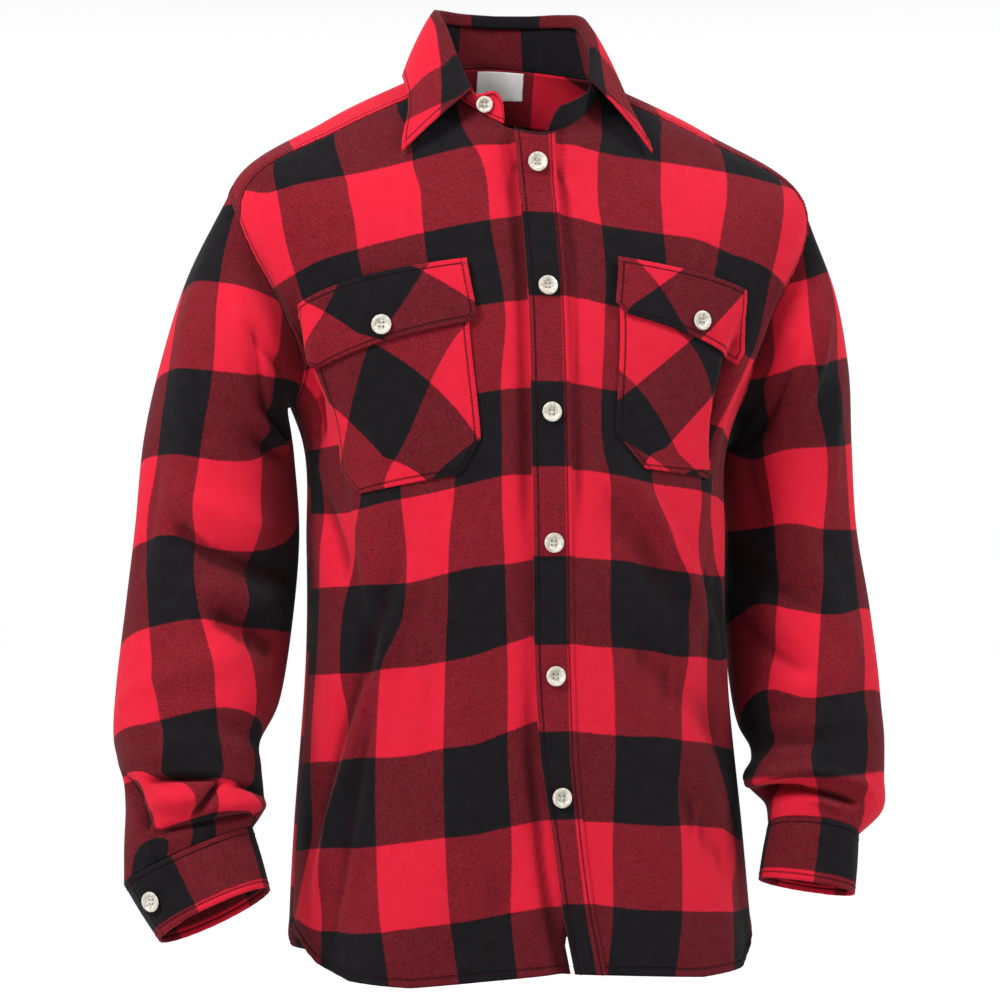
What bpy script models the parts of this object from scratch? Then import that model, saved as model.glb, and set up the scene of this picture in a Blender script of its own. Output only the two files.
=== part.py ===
"""Flannel shirt with long sleeves, buttoned up but for the collar, held in its worn form.

Origin: middle of the neck at the height of the shoulders. +Z up, -Y front, +X wearer's left.
"""
import bpy
import numpy as np
from mathutils import Matrix, Vector
from mathutils.bvhtree import BVHTree

CLOTH = 0.0014          # thickness of one layer
LIFT = 0.0019           # outer face of a layer that lies on another
PATCH = 0.0022          # outer face of a pocket on its front
SEAM = 0.00015          # half of the gap at a seam
PLACKET_WIDTH = 0.032
BUTTON_DIAMETER = 0.0160
COLLAR_BUTTON_DIAMETER = 0.0135
BUTTON_THICKNESS = 0.0030
# Section of a button: share of the radius, share of the thickness.
BUTTON_SECTION = (
    (.45, .00), (.93, .34), (1.0, .62), (.95, .92), (.84, 1.0), (.72, .92), (.62, .70),
)

# Rings of the body, hem to neck.  Heights at front, side and back, then the half width,
# the depths to front and back, how square the ring is, and the shift of its middle.
#        front   side    back    half   front  back  square shift_y shift_x
RINGS = np.array([
    (-.7280, -.7280, -.7280, .1960, .1330, .1400, 2.25, .0000, .0060),     # hem
    (-.6200, -.6200, -.6200, .1880, .1260, .1320, 2.25, .0000, .0030),     # hip
    (-.4800, -.4800, -.4800, .1760, .1200, .1220, 2.25, .0000, .0010),     # waist
    (-.3800, -.3800, -.3800, .1750, .1170, .1240, 2.30, .0000, .0010),     # ribs
    (-.2950, -.2950, -.2950, .1790, .1120, .1300, 2.35, .0000, .0010),     # underarm
    (-.2050, -.2000, -.2050, .2190, .1040, .1280, 2.35, .0000, .0030),     # chest
    (-.1350, -.0920, -.1150, .2440, .0920, .1120, 2.30, .0020, .0060),     # shoulder tip
    (-.0920, -.0330, -.0380, .1620, .0900, .0800, 2.10, .0100, .0030),     # mid shoulder
    (-.0480, .0100, .0240, .0740, .0960, .0600, 1.80, .0200, .0000),       # neck
])

# Curve of the hem: angle, how far the edge is cut up towards the hip ring.
HEM = np.array([
    (0, .09), (15, .05), (35, .00), (55, .02), (70, .08), (82, .18), (90, .24),
    (98, .18), (110, .08), (128, .02), (150, .00), (180, .00),
])

# Rings at which the rows of a front and of the back meet in the side seam.
SIDE_RINGS = np.array([0, .25, .6, 1.0, 1.4, 1.8, 2.2, 2.6, 3.0, 3.4, 3.7, 4.0])
# Shares of the way from the centre front to the side, and round the back.
FRONT_COLUMNS = np.array([0, .07, .14, .22, .31, .40, .49, .58, .67, .76, .84, .92, 1.0])
BACK_COLUMNS = np.linspace(0, 1, 17)

# Armhole seam on the body: angle round the armhole, angle round the body, ring.
ARMHOLE = np.array([
    (0, 90.0, 6.00), (36, 78.0, 5.72), (60, 73.0, 5.44), (84, 70.5, 5.15),
    (108, 70.0, 4.86), (132, 73.0, 4.60), (156, 80.0, 4.40), (180, 90.0, 4.30),
    (204, 101.0, 4.40), (228, 109.0, 4.62), (252, 114.0, 4.88), (276, 115.0, 5.18),
    (300, 112.5, 5.46), (324, 105.0, 5.73), (360, 90.0, 6.00),
])
ARM_STEP = 12
# Angles of the points on the neck seam of a front, centre to yoke.
NECK_ANGLES = np.array([4, 20, 36, 52, 67])
FRONT_CORNER = 36       # angle round the armhole where the front yoke seam ends
BACK_CORNER = 324       # and where the back yoke seam ends
YOKE_BACK_RING = 6.15   # back yoke seam at the centre back
YOKE_ROWS = np.linspace(0, 1, 8)

# Soft folds on the body: from (angle, ring) to (angle, ring), width in degrees, height.
FOLDS = (
    (-74, 4.9, -63, 2.7, 10, -.0045),       # right armpit, beside the pocket
    (-52, 4.4, -42, 2.6, 12, .0030),
    (72, 4.9, 62, 2.7, 10, -.0045),        # left armpit, beside the pocket
    (52, 4.4, 42, 2.6, 12, .0025),
    (-38, 2.6, -62, 0.3, 11, -.0050),       # long soft fold down to the right hem
    (-24, 2.6, -40, 0.2, 10, .0045),
    (30, 2.4, 44, 0.2, 12, .0040),
    (52, 2.4, 66, 0.2, 10, -.0045),
    (120, 4.6, 140, 1.0, 11, -.0050),       # drape of the back
    (150, 5.2, 160, 0.2, 10, .0045),
    (-120, 4.6, -140, 1.0, 11, -.0050),
    (-150, 5.2, -160, 0.2, 10, .0045),
)

# Centre line of the placket: ring, shift to the wearer's left.
PLACKET_LINE = np.array([
    (0.0, .0240), (0.5, .0150), (1.0, .0085), (1.5, .0020), (2.2, .0000),
    (5.6, .0000), (6.6, -.0015), (8.0, -.0040),
])

# Sleeve rings below the armhole: middle x y z, lean outward and forward in degrees,
# half width across and front to back.  x counts outward from the body.
#              x      y      z     lean  fore  across  deep
SLEEVE_RIGHT = np.array([
    (.2312, .0120, -.2160, 55, 0, .0684, .0790),
    (.2395, .0180, -.2604, 31, 0, .0612, .0710),
    (.2445, .0240, -.3030, 8, -2, .0620, .0680),
    (.2467, .0200, -.3690, 3, 0, .0670, .0660),
    (.2550, .0080, -.4350, 6, 8, .0680, .0640),
    (.2673, -.0130, -.4980, 8, 14, .0660, .0620),
    (.2788, -.0300, -.5350, 4, 18, .0585, .0600),
    (.2763, -.0400, -.5590, 0, 18, .0550, .0550),
    (.2753, -.0470, -.5820, -4, 18, .0550, .0540),
    (.2768, -.0540, -.6040, -13, 18, .0570, .0470),
    (.2822, -.0600, -.6250, -22, 18, .0550, .0380),
])
SLEEVE_LEFT = np.array([
    (.2350, .0120, -.2155, 55, 0, .0692, .0790),
    (.2420, .0180, -.2605, 32, 0, .0599, .0710),
    (.2410, .0240, -.3030, 8, -2, .0585, .0680),
    (.2450, .0200, -.3690, 3, 0, .0570, .0660),
    (.2475, .0080, -.4350, 3, 8, .0620, .0640),
    (.2480, -.0100, -.4900, 2, 14, .0630, .0620),
    (.2490, -.0230, -.5250, 2, 18, .0610, .0590),
    (.2540, -.0330, -.5500, 2, 18, .0550, .0550),
    (.2455, -.0430, -.5760, -4, 18, .0595, .0540),
    (.2512, -.0520, -.5980, -9, 18, .0500, .0460),
    (.2397, -.0590, -.6170, -13, 18, .0375, .0380),
])
# Cuffs: lower edge as one more ring of the sleeve.
CUFF_RIGHT = (.2640, -.0790, -.6700, -23, 22, .0475, .0370)
CUFF_LEFT = (.2291, -.0740, -.6630, -14, 20, .0400, .0390)
CUFF_OVERLAP = 34       # degrees that the buttoned end passes over the other
CUFF_START = {"right": 55, "left": 345}

# Collar: angle on the neck seam, then the fold line x y z, then the free edge of the fall
# as (angle, ring) on the body.
COLLAR = np.array([
    (35, .0490, -.0580, .0020, 45, 7.13),
    (60, .0600, -.0200, .0350, 62, 7.42),
    (90, .0630, .0200, .0600, 89, 7.60),
    (120, .0530, .0520, .0670, 121, 7.62),
    (150, .0300, .0720, .0680, 151, 7.62),
    (180, .0000, .0790, .0680, 180, 7.62),
])
STAND_END_RIGHT = -24
STAND_END_LEFT = 7

# Pocket and flap outlines on the front: (angle, ring) of each corner, by side.
POCKETS = {
    "right": {
        "pocket": ((-55.5, 5.03), (-14.0, 5.57), (-15.3, 3.99), (-21.2, 3.66),
                   (-54.6, 3.47), (-65.6, 3.70)),
        "flap": ((-59.1, 5.14), (-13.5, 5.70), (-12.8, 5.13), (-14.1, 5.03),
                 (-57.3, 4.62), (-65.2, 4.71)),
        "button": (-34.6, 4.98),
    },
    "left": {
        "pocket": ((10.5, 5.62), (42.5, 5.17), (52.0, 3.70), (49.0, 3.63),
                   (23.1, 3.72), (13.9, 4.05)),
        "flap": ((10.0, 5.76), (45.5, 5.28), (50.5, 4.76), (50.0, 4.67),
                 (12.3, 5.13), (10.2, 5.25)),
        "button": (31.2, 5.06),
    },
}

BUTTON_RINGS = (7.45, 5.41, 4.23, 3.02, 1.97, 1.295)

COLOURS = {
    "cloth": (.72, .035, .055),
    "dark": (.33, .030, .050),
    "black": (.022, .018, .022),
    "button": (.80, .78, .70),
    "label": (.86, .85, .82),
}


def clear_scene():
    for thing in list(bpy.data.objects):
        bpy.data.objects.remove(thing, do_unlink=True)


def spline(table, at):
    """Smooth curve through the rows of a table, evaluated at row numbers."""
    at = np.clip(np.asarray(at, float), 0, len(table) - 1)
    row = np.minimum(at.astype(int), len(table) - 2)
    part = at - row
    part = part.reshape(part.shape + (1,) * (table.ndim - 1))
    padded = np.concatenate([2 * table[:1] - table[1:2], table, 2 * table[-1:] - table[-2:-1]])
    before, first, second, after = (padded[row + step] for step in range(4))
    return 0.5 * (
        2 * first + (second - before) * part
        + (2 * before - 5 * first + 4 * second - after) * part ** 2
        + (3 * first - before - 3 * second + after) * part ** 3
    )


def lookup(table, at):
    """Smooth curve through a table whose first column is the position."""
    rows = np.interp(at, table[:, 0], np.arange(len(table)))
    return spline(table, rows)[..., 1:]


def body_form(angle, ring):
    """Point of the bare body form: angle 0 at centre front, 90 at the left side."""
    angle, ring = np.broadcast_arrays(np.asarray(angle, float), np.asarray(ring, float))
    around = np.abs((angle + 180) % 360 - 180)
    ring = ring + np.interp(around, HEM[:, 0], HEM[:, 1]) * np.clip(1 - ring, 0, 1)
    front_z, side_z, back_z, half, front, back, square, shift_y, shift_x = np.moveaxis(
        spline(RINGS, ring), -1, 0)
    across = np.sin(np.radians(angle))
    ahead = np.cos(np.radians(angle))
    depth = np.where(ahead > 0, front, back)
    end_z = np.where(ahead > 0, front_z, back_z)
    x = shift_x + half * np.sign(across) * np.abs(across) ** (2 / square)
    y = shift_y - depth * np.sign(ahead) * np.abs(ahead) ** (2 / square)
    z = side_z + (end_z - side_z) * np.abs(ahead) ** 1.6
    return np.stack([x, y, z], -1)


def fold_height(angle, ring):
    """How far the folds stand out from the body form."""
    angle = (np.asarray(angle, float) + 180) % 360 - 180
    total = np.zeros(np.broadcast(angle, ring).shape)
    for a0, r0, a1, r1, width, height in FOLDS:
        run, rise = (a1 - a0) / 20, r1 - r0
        along = ((angle - a0) / 20 * run + (ring - r0) * rise) / (run ** 2 + rise ** 2)
        along = np.clip(along, 0, 1)
        off_angle = angle - (a0 + (a1 - a0) * along)
        off_ring = (ring - (r0 + (r1 - r0) * along)) * 20
        total += height * np.exp(-(off_angle ** 2 + off_ring ** 2) / width ** 2)
    return total


def body(angle, ring, lift=0.0):
    """Point of the shirt's outer face, moved out by lift."""
    angle, ring, lift = np.broadcast_arrays(
        np.asarray(angle, float), np.asarray(ring, float), np.asarray(lift, float))
    around = body_form(angle + 0.5, ring) - body_form(angle - 0.5, ring)
    above, below = np.minimum(ring + 0.02, 8), np.maximum(ring - 0.02, 0)
    upward = body_form(angle, above) - body_form(angle, below)
    normal = np.cross(around, upward)
    normal /= np.linalg.norm(normal, axis=-1, keepdims=True)
    height = fold_height(angle, ring) + lift
    return body_form(angle, ring) + normal * height[..., None]


def angle_at(ring, x):
    """Angle round the front of the body at which x is reached."""
    values = spline(RINGS, ring)
    half, square, shift = values[..., 3], values[..., 6], values[..., 8]
    ratio = np.clip((x - shift) / half, -1, 1)
    return np.degrees(np.arcsin(np.sign(ratio) * np.abs(ratio) ** (square / 2)))


def placket_x(ring):
    return np.interp(ring, PLACKET_LINE[:, 0], PLACKET_LINE[:, 1])


def pull_in(grid, edges, amount=SEAM):
    """Draw the named edges of a grid of points back from the seam line."""
    for edge in edges:
        view = grid if edge in ("foot", "top") else grid.swapaxes(0, 1)
        outer, inner = (0, 1) if edge in ("foot", "first") else (-1, -2)
        step = view[inner] - view[outer]
        view[outer] += step / np.linalg.norm(step, axis=-1, keepdims=True) * amount
    return grid


def material(name, colour, roughness):
    made = bpy.data.materials.new(name)
    made.use_nodes = True
    shader = made.node_tree.nodes["Principled BSDF"]
    shader.inputs["Base Color"].default_value = (*colour, 1)
    shader.inputs["Roughness"].default_value = roughness
    return made


def add_mesh(name, points, faces, colour, roughness=0.9):
    mesh = bpy.data.meshes.new(name)
    mesh.from_pydata([tuple(p) for p in points], [], faces)
    mesh.update()
    thing = bpy.data.objects.new(name, mesh)
    thing.data.materials.append(material(name + "_material", COLOURS[colour], roughness))
    SHIRT.objects.link(thing)
    return thing


def grid_faces(grid, around=False, flip=False):
    """Triangles over a grid of points, each four split along the shorter diagonal."""
    rows, columns = grid.shape[:2]
    points = grid.reshape(-1, 3)
    faces = []
    for row in range(rows - 1):
        for column in range(columns if around else columns - 1):
            right = (column + 1) % columns
            a, b = row * columns + column, row * columns + right
            c, d = b + columns, a + columns
            if np.linalg.norm(points[a] - points[c]) < np.linalg.norm(points[b] - points[d]):
                pair = ((a, b, c), (a, c, d))
            else:
                pair = ((a, b, d), (b, c, d))
            faces += [face[::-1] if flip else face for face in pair]
    return faces


def add_cloth(name, grid, colour="cloth", around=False, flip=False, thickness=CLOTH):
    """Sheet of cloth from a grid of outer points, thickened inward."""
    faces = grid_faces(grid, around, flip)
    thing = add_mesh(name, grid.reshape(-1, 3), faces, colour)
    shell = thing.modifiers.new("cloth", "SOLIDIFY")
    shell.thickness = thickness
    shell.offset = -1
    shell.use_even_offset = True
    return thing


def blend(low, high, share):
    return low + (high - low) * share


def arm_angles(first, last):
    step = ARM_STEP if last > first else -ARM_STEP
    return np.arange(first, last + step, step)


def front_edge_angle(ring, side):
    """Angle of the free front edge: the left front's, or the right front's below it."""
    edge = placket_x(ring) - PLACKET_WIDTH / 2
    if side == "left":
        return angle_at(ring, edge)
    height = spline(RINGS, ring)[..., 0]
    inside = np.clip((height + .700) * .30, -.011, .027)
    return angle_at(ring, edge + inside)


def front_grid(side):
    """Outer points of one front, hem to yoke seam by centre front to side."""
    sign = 1 if side == "left" else -1
    seam = lookup(ARMHOLE, arm_angles(180, FRONT_CORNER))
    outer = np.concatenate([
        np.stack([np.full(12, 90.0), SIDE_RINGS], -1), seam])
    rows = len(outer)
    inner_ring = np.concatenate([SIDE_RINGS, np.linspace(4.3, 8, rows - 17), np.full(5, 8.0)])
    edge = front_edge_angle(inner_ring, side) * sign
    edge[-5:] = NECK_ANGLES
    angle = blend(edge[:, None], outer[:, :1], FRONT_COLUMNS)
    ring = blend(inner_ring[:, None], outer[:, 1:], FRONT_COLUMNS)
    across = body_form(angle * sign, ring)[..., 0] - placket_x(ring)
    if side == "left":
        lift = LIFT * np.clip((.042 - across) / .022, 0, 1)
    else:
        lift = -.0014 * np.clip((.042 + across) / .022, 0, 1)
    grid = body(angle * sign, ring, lift)
    seam = yoke_points()[:, 0 if side == "left" else -1]
    grid[-1] = along(seam, YOKE_ROWS, FRONT_COLUMNS)
    return pull_in(grid, ("top", "last"))


def along(points, known, at):
    """Points on a polyline whose corners stand at the known positions."""
    return np.stack([np.interp(at, known, points[:, axis]) for axis in range(3)], -1)


def yoke_back_line():
    """Back yoke seam from the right armhole round to the left: angle, ring."""
    corner = lookup(ARMHOLE, BACK_CORNER)
    share = BACK_COLUMNS
    angle = blend(corner[0], 360 - corner[0], share)
    dip = np.sin(np.pi * share) ** 0.8
    return angle, corner[1] + (YOKE_BACK_RING - corner[1]) * dip


def back_grid():
    seam = lookup(ARMHOLE, arm_angles(180, BACK_CORNER))
    outer = np.concatenate([np.stack([np.full(12, 90.0), SIDE_RINGS], -1), seam])
    share = BACK_COLUMNS
    angle = blend(outer[:, :1], 360 - outer[:, :1], share)
    dip = np.sin(np.pi * share) ** 0.8
    top = outer[-1, 1]
    rise = (YOKE_BACK_RING - top) * np.clip((outer[:, 1] - 4.3) / (top - 4.3), 0, 1)
    ring = outer[:, 1:] + rise[:, None] * dip
    return pull_in(body(angle, ring), ("top", "first", "last"))


def yoke_neck(angle):
    """Angle on the neck seam where a line of the yoke that ends at angle begins."""
    corner = lookup(ARMHOLE, FRONT_CORNER)[0]
    known = (corner, 90, 270, 360 - corner)
    return np.interp(angle, known, (NECK_ANGLES[-1], 90, 270, 360 - NECK_ANGLES[-1]))


def yoke_points():
    """Outer points of the yoke: neck to outer seam by left front round the back."""
    over = lookup(ARMHOLE, arm_angles(FRONT_CORNER, 0))
    behind = lookup(ARMHOLE, arm_angles(360, BACK_CORNER))[1:]
    left = np.concatenate([over, behind])
    back_angle, back_ring = yoke_back_line()
    right = left[::-1].copy()
    right[:, 0] = 360 - right[:, 0]
    back = np.stack([back_angle, back_ring], -1)[1:-1]
    outer = np.concatenate([left, back, right])
    share = YOKE_ROWS[:, None]
    angle = blend(yoke_neck(outer[:, 0]), outer[None, :, 0], share)
    ring = blend(8.0, outer[None, :, 1], share)
    return body(angle, ring)


def yoke_grid():
    return pull_in(yoke_points(), ("top", "first", "last"))


def oval(ring, sign, angle):
    """Points of one sleeve ring: 0 outer side, 90 front, 180 next to the body, 270 back."""
    x, y, z, lean, fore, across, deep = ring
    lean, fore, angle = np.radians(lean), np.radians(fore), np.radians(angle)
    outward = np.array([sign * np.cos(lean), 0, np.sin(lean)])
    down = np.array([
        sign * np.sin(lean) * np.cos(fore), -np.sin(fore), -np.cos(lean) * np.cos(fore)])
    ahead = np.cross(down, outward) * sign
    if ahead[1] > 0:
        ahead = -ahead
    middle = np.array([sign * x, y, z])
    return (middle + across * np.cos(angle)[:, None] * outward
            + deep * np.sin(angle)[:, None] * ahead)


def sleeve_rings(side):
    """Armhole loop and the ovals below it, as one array of rings."""
    sign = 1 if side == "left" else -1
    table = SLEEVE_LEFT if side == "left" else SLEEVE_RIGHT
    angle = np.arange(0, 360, ARM_STEP)
    hole = lookup(ARMHOLE, angle)
    loop = body(hole[:, 0] * sign, hole[:, 1])
    return np.array([loop] + [oval(ring, sign, angle) for ring in table])


def sleeve_grid(side):
    rings = sleeve_rings(side)
    at = np.concatenate([np.linspace(0, 3, 7), np.linspace(3, len(rings) - 1, 13)[1:]])
    grid = spline(rings, at)
    foot = grid[-1:]
    run = cuff_grid(side)[-1].mean(0) - foot[0].mean(0)
    neck = foot - run / np.linalg.norm(run) * .004
    grid = np.concatenate([grid[:-1], neck, foot])
    return pull_in(pull_in(grid, ("foot",), 0.0015), ("top",), 0.0006)


def cuff_grid(side):
    """Outer points of a cuff that overlaps itself at the back of the wrist."""
    sign = 1 if side == "left" else -1
    table, low = (SLEEVE_LEFT, CUFF_LEFT) if side == "left" else (SLEEVE_RIGHT, CUFF_RIGHT)
    start = CUFF_START[side]
    angle = start + np.linspace(-CUFF_OVERLAP, 360, 34)
    over = np.clip((angle - start) / 30, 0, 1)
    lift = LIFT * 1.15 * (1 - over)
    rows = []
    for share in np.linspace(0, 1, 4):
        ring = blend(np.array(table[-1]), np.array(low), share)
        points = oval(ring, sign, angle)
        middle = np.array([sign * ring[0], ring[1], ring[2]])
        outward = points - middle
        outward /= np.linalg.norm(outward, axis=-1, keepdims=True)
        rows.append(points + outward * (lift[:, None] + 0.0002))
    return pull_in(np.array(rows), ("foot",), 0.0003)


def collar_stations():
    """Neck-seam angles shared by stand, yoke and fronts, right end to left end."""
    yoke = lookup(ARMHOLE, arm_angles(FRONT_CORNER, 0))[:, 0]
    behind = lookup(ARMHOLE, arm_angles(360, BACK_CORNER))[1:, 0]
    back = yoke_back_line()[0][1:-1]
    left = np.concatenate([NECK_ANGLES[1:-1], yoke_neck(yoke), behind])
    right = 360 - left[:0:-1]
    return np.concatenate([[STAND_END_LEFT], left, back, right, [360 + STAND_END_RIGHT]])


def fold_line(angle):
    """Fold of the collar above the neck-seam angle."""
    half = np.where(angle > 180, 360 - angle, angle)
    point = lookup(COLLAR, np.maximum(half, COLLAR[0, 0]))[..., :3]
    point[..., 0] *= np.where(angle > 180, -1, 1)
    return point


def fold_frame(angle):
    """Directions out from the neck and square to the fold line, at its points."""
    near = np.clip(angle, COLLAR[0, 0] + 2, 358 - COLLAR[0, 0])
    fold = fold_line(near)
    ahead = fold_line(near + 1) - fold_line(near - 1)
    outward = fold * (1, 1, 0)
    outward /= np.linalg.norm(outward, axis=-1, keepdims=True)
    up = np.cross(outward, ahead)
    up /= np.linalg.norm(up, axis=-1, keepdims=True)
    return outward, np.where(up[..., 2:] < 0, -up, up)


def stand_grid():
    angle = collar_stations()
    foot = body(angle, 8.0)
    half = np.where(angle > 180, 360 - angle, angle)
    top = fold_line(angle) - fold_frame(angle)[1] * .0012
    bare = (half < COLLAR[0, 0])[:, None]
    rise = fold_line(COLLAR[:1, 0]) - body(COLLAR[:1, 0], 8.0)
    rounded = np.clip((half - 3) / 16, .35, 1)[:, None]
    top = np.where(bare, foot + rise * .82 * rounded, top)
    share = np.linspace(0, 1, 5)[:, None, None]
    grid = foot + (top - foot) * share
    return pull_in(grid, ("foot",), 0.0010)


def fall_grid():
    angle = collar_stations()
    angle = angle[(angle > COLLAR[0, 0]) & (angle < 360 - COLLAR[0, 0])]
    fold = fold_line(angle)
    half = np.where(angle > 180, 360 - angle, angle)
    edge_angle, edge_ring = lookup(COLLAR, half)[..., 3], lookup(COLLAR, half)[..., 4]
    edge = body(np.where(angle > 180, -edge_angle, edge_angle), edge_ring, .0055)
    outward, up = fold_frame(angle)
    rows = [fold - outward * .0012 + up * .0010, fold + outward * .0012 + up * .0012,
            fold + outward * .0032 - up * .0006]
    for share in (.15, .35, .60, .82, 1.0):
        bulge = .0060 * np.sin(np.pi * share) ** .8
        start = outward * (.0032 * (1 - share) + bulge)
        rows.append(fold + (edge - fold) * share + start)
    return np.array(rows)


def on_panel(tree, angle, ring, lift):
    """Points at the given distance over the layers below, facets and all."""
    low, high = body(angle, ring), body(angle, ring, .03)
    points = []
    for start, end in zip(high.reshape(-1, 3), low.reshape(-1, 3)):
        inward = Vector(end - start).normalized()
        hit = tree.ray_cast(Vector(start), inward, .06)[0]
        points.append(tuple((hit or Vector(end)) - inward * lift))
    return np.array(points).reshape(low.shape)


def outline_grid(corners, columns, rows, knee):
    """Angle and ring over a six-cornered outline: top left, top right, then clockwise."""
    corners = [np.array(c, float) for c in corners]
    top_left, top_right, right_low, bottom_right, bottom_left, left_low = corners
    across = np.linspace(0, 1, columns)[:, None]
    grid = []
    for share in np.linspace(0, 1, rows):
        bend = min(share / knee, 1)
        tail = max((share - knee) / (1 - knee), 0)
        left = blend(blend(top_left, left_low, bend), bottom_left, tail)
        right = blend(blend(top_right, right_low, bend), bottom_right, tail)
        grid.append(blend(left, right, across))
    return np.moveaxis(np.array(grid), -1, 0)


def patch_grid(tree, corners, columns, rows, knee, lift):
    """Outer points of a patch that clears every facet of the panel below it."""
    angle, ring = outline_grid(corners, columns, rows, knee)
    grid = on_panel(tree, angle, ring, lift)
    up = outward(angle, ring)
    angle, ring = outline_grid(corners, 4 * columns, 4 * rows, knee)
    below = on_panel(tree, angle, ring, 0).reshape(-1, 3)
    normals = outward(angle, ring)
    faces = grid_faces(grid)
    points = grid.reshape(-1, 3)
    for _ in range(6):
        over = BVHTree.FromPolygons([tuple(p) for p in points], faces)
        short = np.zeros((len(points), 1))
        for start, normal in zip(below, normals):
            hit, _, face, distance = over.ray_cast(
                Vector(start - normal * .01), Vector(normal), .03)
            if hit is not None:
                corners_hit = list(faces[face])
                lack = lift - .0001 + .01 - distance
                short[corners_hit] = np.maximum(short[corners_hit], lack)
        points += up * short
    return grid


def outward(angle, ring):
    return (body(angle, ring, .01) - body(angle, ring)).reshape(-1, 3) * 100


def faces_under(grids):
    """Search tree over the outer faces of the layers that a patch lies on."""
    points, faces = [], []
    for grid in grids:
        first = len(points)
        faces += [tuple(first + corner for corner in face) for face in grid_faces(grid)]
        points += [tuple(point) for point in grid.reshape(-1, 3)]
    return BVHTree.FromPolygons(points, faces)


def pocket_grids(side):
    """Outer points of a pocket and of the flap over it."""
    front = front_grid(side)
    shapes = POCKETS[side]
    pocket = patch_grid(faces_under([front]), shapes["pocket"], 9, 8, 5 / 7, PATCH)
    below = faces_under([front, pocket])
    return pocket, patch_grid(below, shapes["flap"], 9, 6, 4 / 5, PATCH * 1.25)


def placket_grid():
    ring = np.concatenate([SIDE_RINGS, np.linspace(4.3, 7.98, 9)])
    middle = placket_x(ring)
    across = np.linspace(-.5, .5, 4) * PLACKET_WIDTH
    angle = angle_at(ring[:, None], middle[:, None] + across)
    return body(angle, ring[:, None], 2 * LIFT)


def add_button(name, place, normal, diameter=BUTTON_DIAMETER):
    radius, height = diameter / 2, BUTTON_THICKNESS
    count = 14
    turn = np.radians(np.arange(count) * 360 / count)
    circle = np.stack([np.cos(turn), np.sin(turn)], -1)
    points, faces = [], []
    for share, level in BUTTON_SECTION:
        points += [(radius * share * x, radius * share * y, height * level) for x, y in circle]
    for row in range(len(BUTTON_SECTION) - 1):
        for column in range(count):
            right = (column + 1) % count
            faces.append((row * count + column, row * count + right,
                          (row + 1) * count + right, (row + 1) * count + column))
    faces.append(tuple(range(count))[::-1])
    faces.append(tuple(range(len(points) - count, len(points))))
    thing = add_mesh(name, points, faces, "button", 0.25)
    facing = Vector(normal).to_track_quat("Z", "Y").to_matrix().to_4x4()
    thing.data.transform(Matrix.Translation(Vector(place)) @ facing)
    return thing


def grid_button(name, grid, row, column, share=.5, rise=.0005, diameter=BUTTON_DIAMETER):
    """Button on the outer face of a cloth grid, at a share of the way to the next column."""
    corners = grid[row:row + 2][:, [column, column + 1]]
    middle = blend(corners[:, 0], corners[:, 1], share).mean(0)
    across = corners[0, 1] - corners[0, 0]
    up = corners[1, 0] - corners[0, 0]
    normal = np.cross(across, up)
    centre = grid.mean((0, 1))
    if np.dot(normal, middle - centre) < 0:
        normal = -normal
    normal /= np.linalg.norm(normal)
    add_button(name, middle + normal * rise, normal, diameter)


def surface_button(name, angle, ring, lift):
    """Button whose back stands just clear of the cloth below it."""
    middle = body(angle, ring, lift + .0004)
    ahead = body(angle, ring, lift + .0104) - middle
    add_button(name, middle, ahead)


def flap_button(side, angle, ring):
    """Button that stands square on the flap."""
    tree = faces_under([pocket_grids(side)[1]])
    angles = angle + np.array([0, 2.5, 0, -2.5, 0])
    rings = ring + np.array([0, 0, .07, 0, -.07])
    points = on_panel(tree, angles, rings, .0004)
    normal = np.cross(points[1] - points[3], points[2] - points[4])
    add_button("flap_button_" + side, points[0], normal)


def build_body():
    add_cloth("front_right", front_grid("right"), "cloth", flip=True)
    add_cloth("front_left", front_grid("left"), "cloth")
    add_cloth("back", back_grid(), "dark")
    add_cloth("yoke", yoke_grid(), "dark")
    add_cloth("placket", placket_grid(), "black")


def build_sleeves():
    for side in ("right", "left"):
        flip = side == "left"
        add_cloth("sleeve_" + side, sleeve_grid(side), "cloth", around=True, flip=flip)
        add_cloth("cuff_" + side, cuff_grid(side), "dark", flip=flip)


def build_collar():
    add_cloth("collar_stand", stand_grid(), "dark")
    add_cloth("collar_fall", fall_grid(), "cloth", flip=True)


def build_pockets():
    for side in POCKETS:
        pocket, flap = pocket_grids(side)
        add_cloth("pocket_" + side, pocket, "dark", flip=True)
        add_cloth("flap_" + side, flap, "black", flip=True)


def build_buttons():
    for number, ring in enumerate(BUTTON_RINGS, 1):
        angle = angle_at(np.array(ring), placket_x(ring))
        surface_button("front_button_%d" % number, float(angle), ring, 2 * LIFT)
    for side, shapes in POCKETS.items():
        flap_button(side, *shapes["button"])
        grid_button("cuff_button_" + side, cuff_grid(side), 1, 1, rise=.0016)
    grid_button("collar_button", stand_grid(), 1, -2, .2, diameter=COLLAR_BUTTON_DIAMETER)


def build_label():
    angle = np.linspace(166, 188, 5)
    drop = np.linspace(7.96, 7.56, 4)[:, None]
    add_cloth("neck_label", body(angle, drop, -CLOTH + .0006), "label", flip=True, thickness=.0008)


clear_scene()
SHIRT = bpy.data.collections.new("flannel_shirt")
bpy.context.scene.collection.children.link(SHIRT)
build_body()
build_sleeves()
build_collar()
build_pockets()
build_buttons()
build_label()
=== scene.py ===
import bmesh
import bpy
import numpy as np
from mathutils import Matrix, Vector


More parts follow.
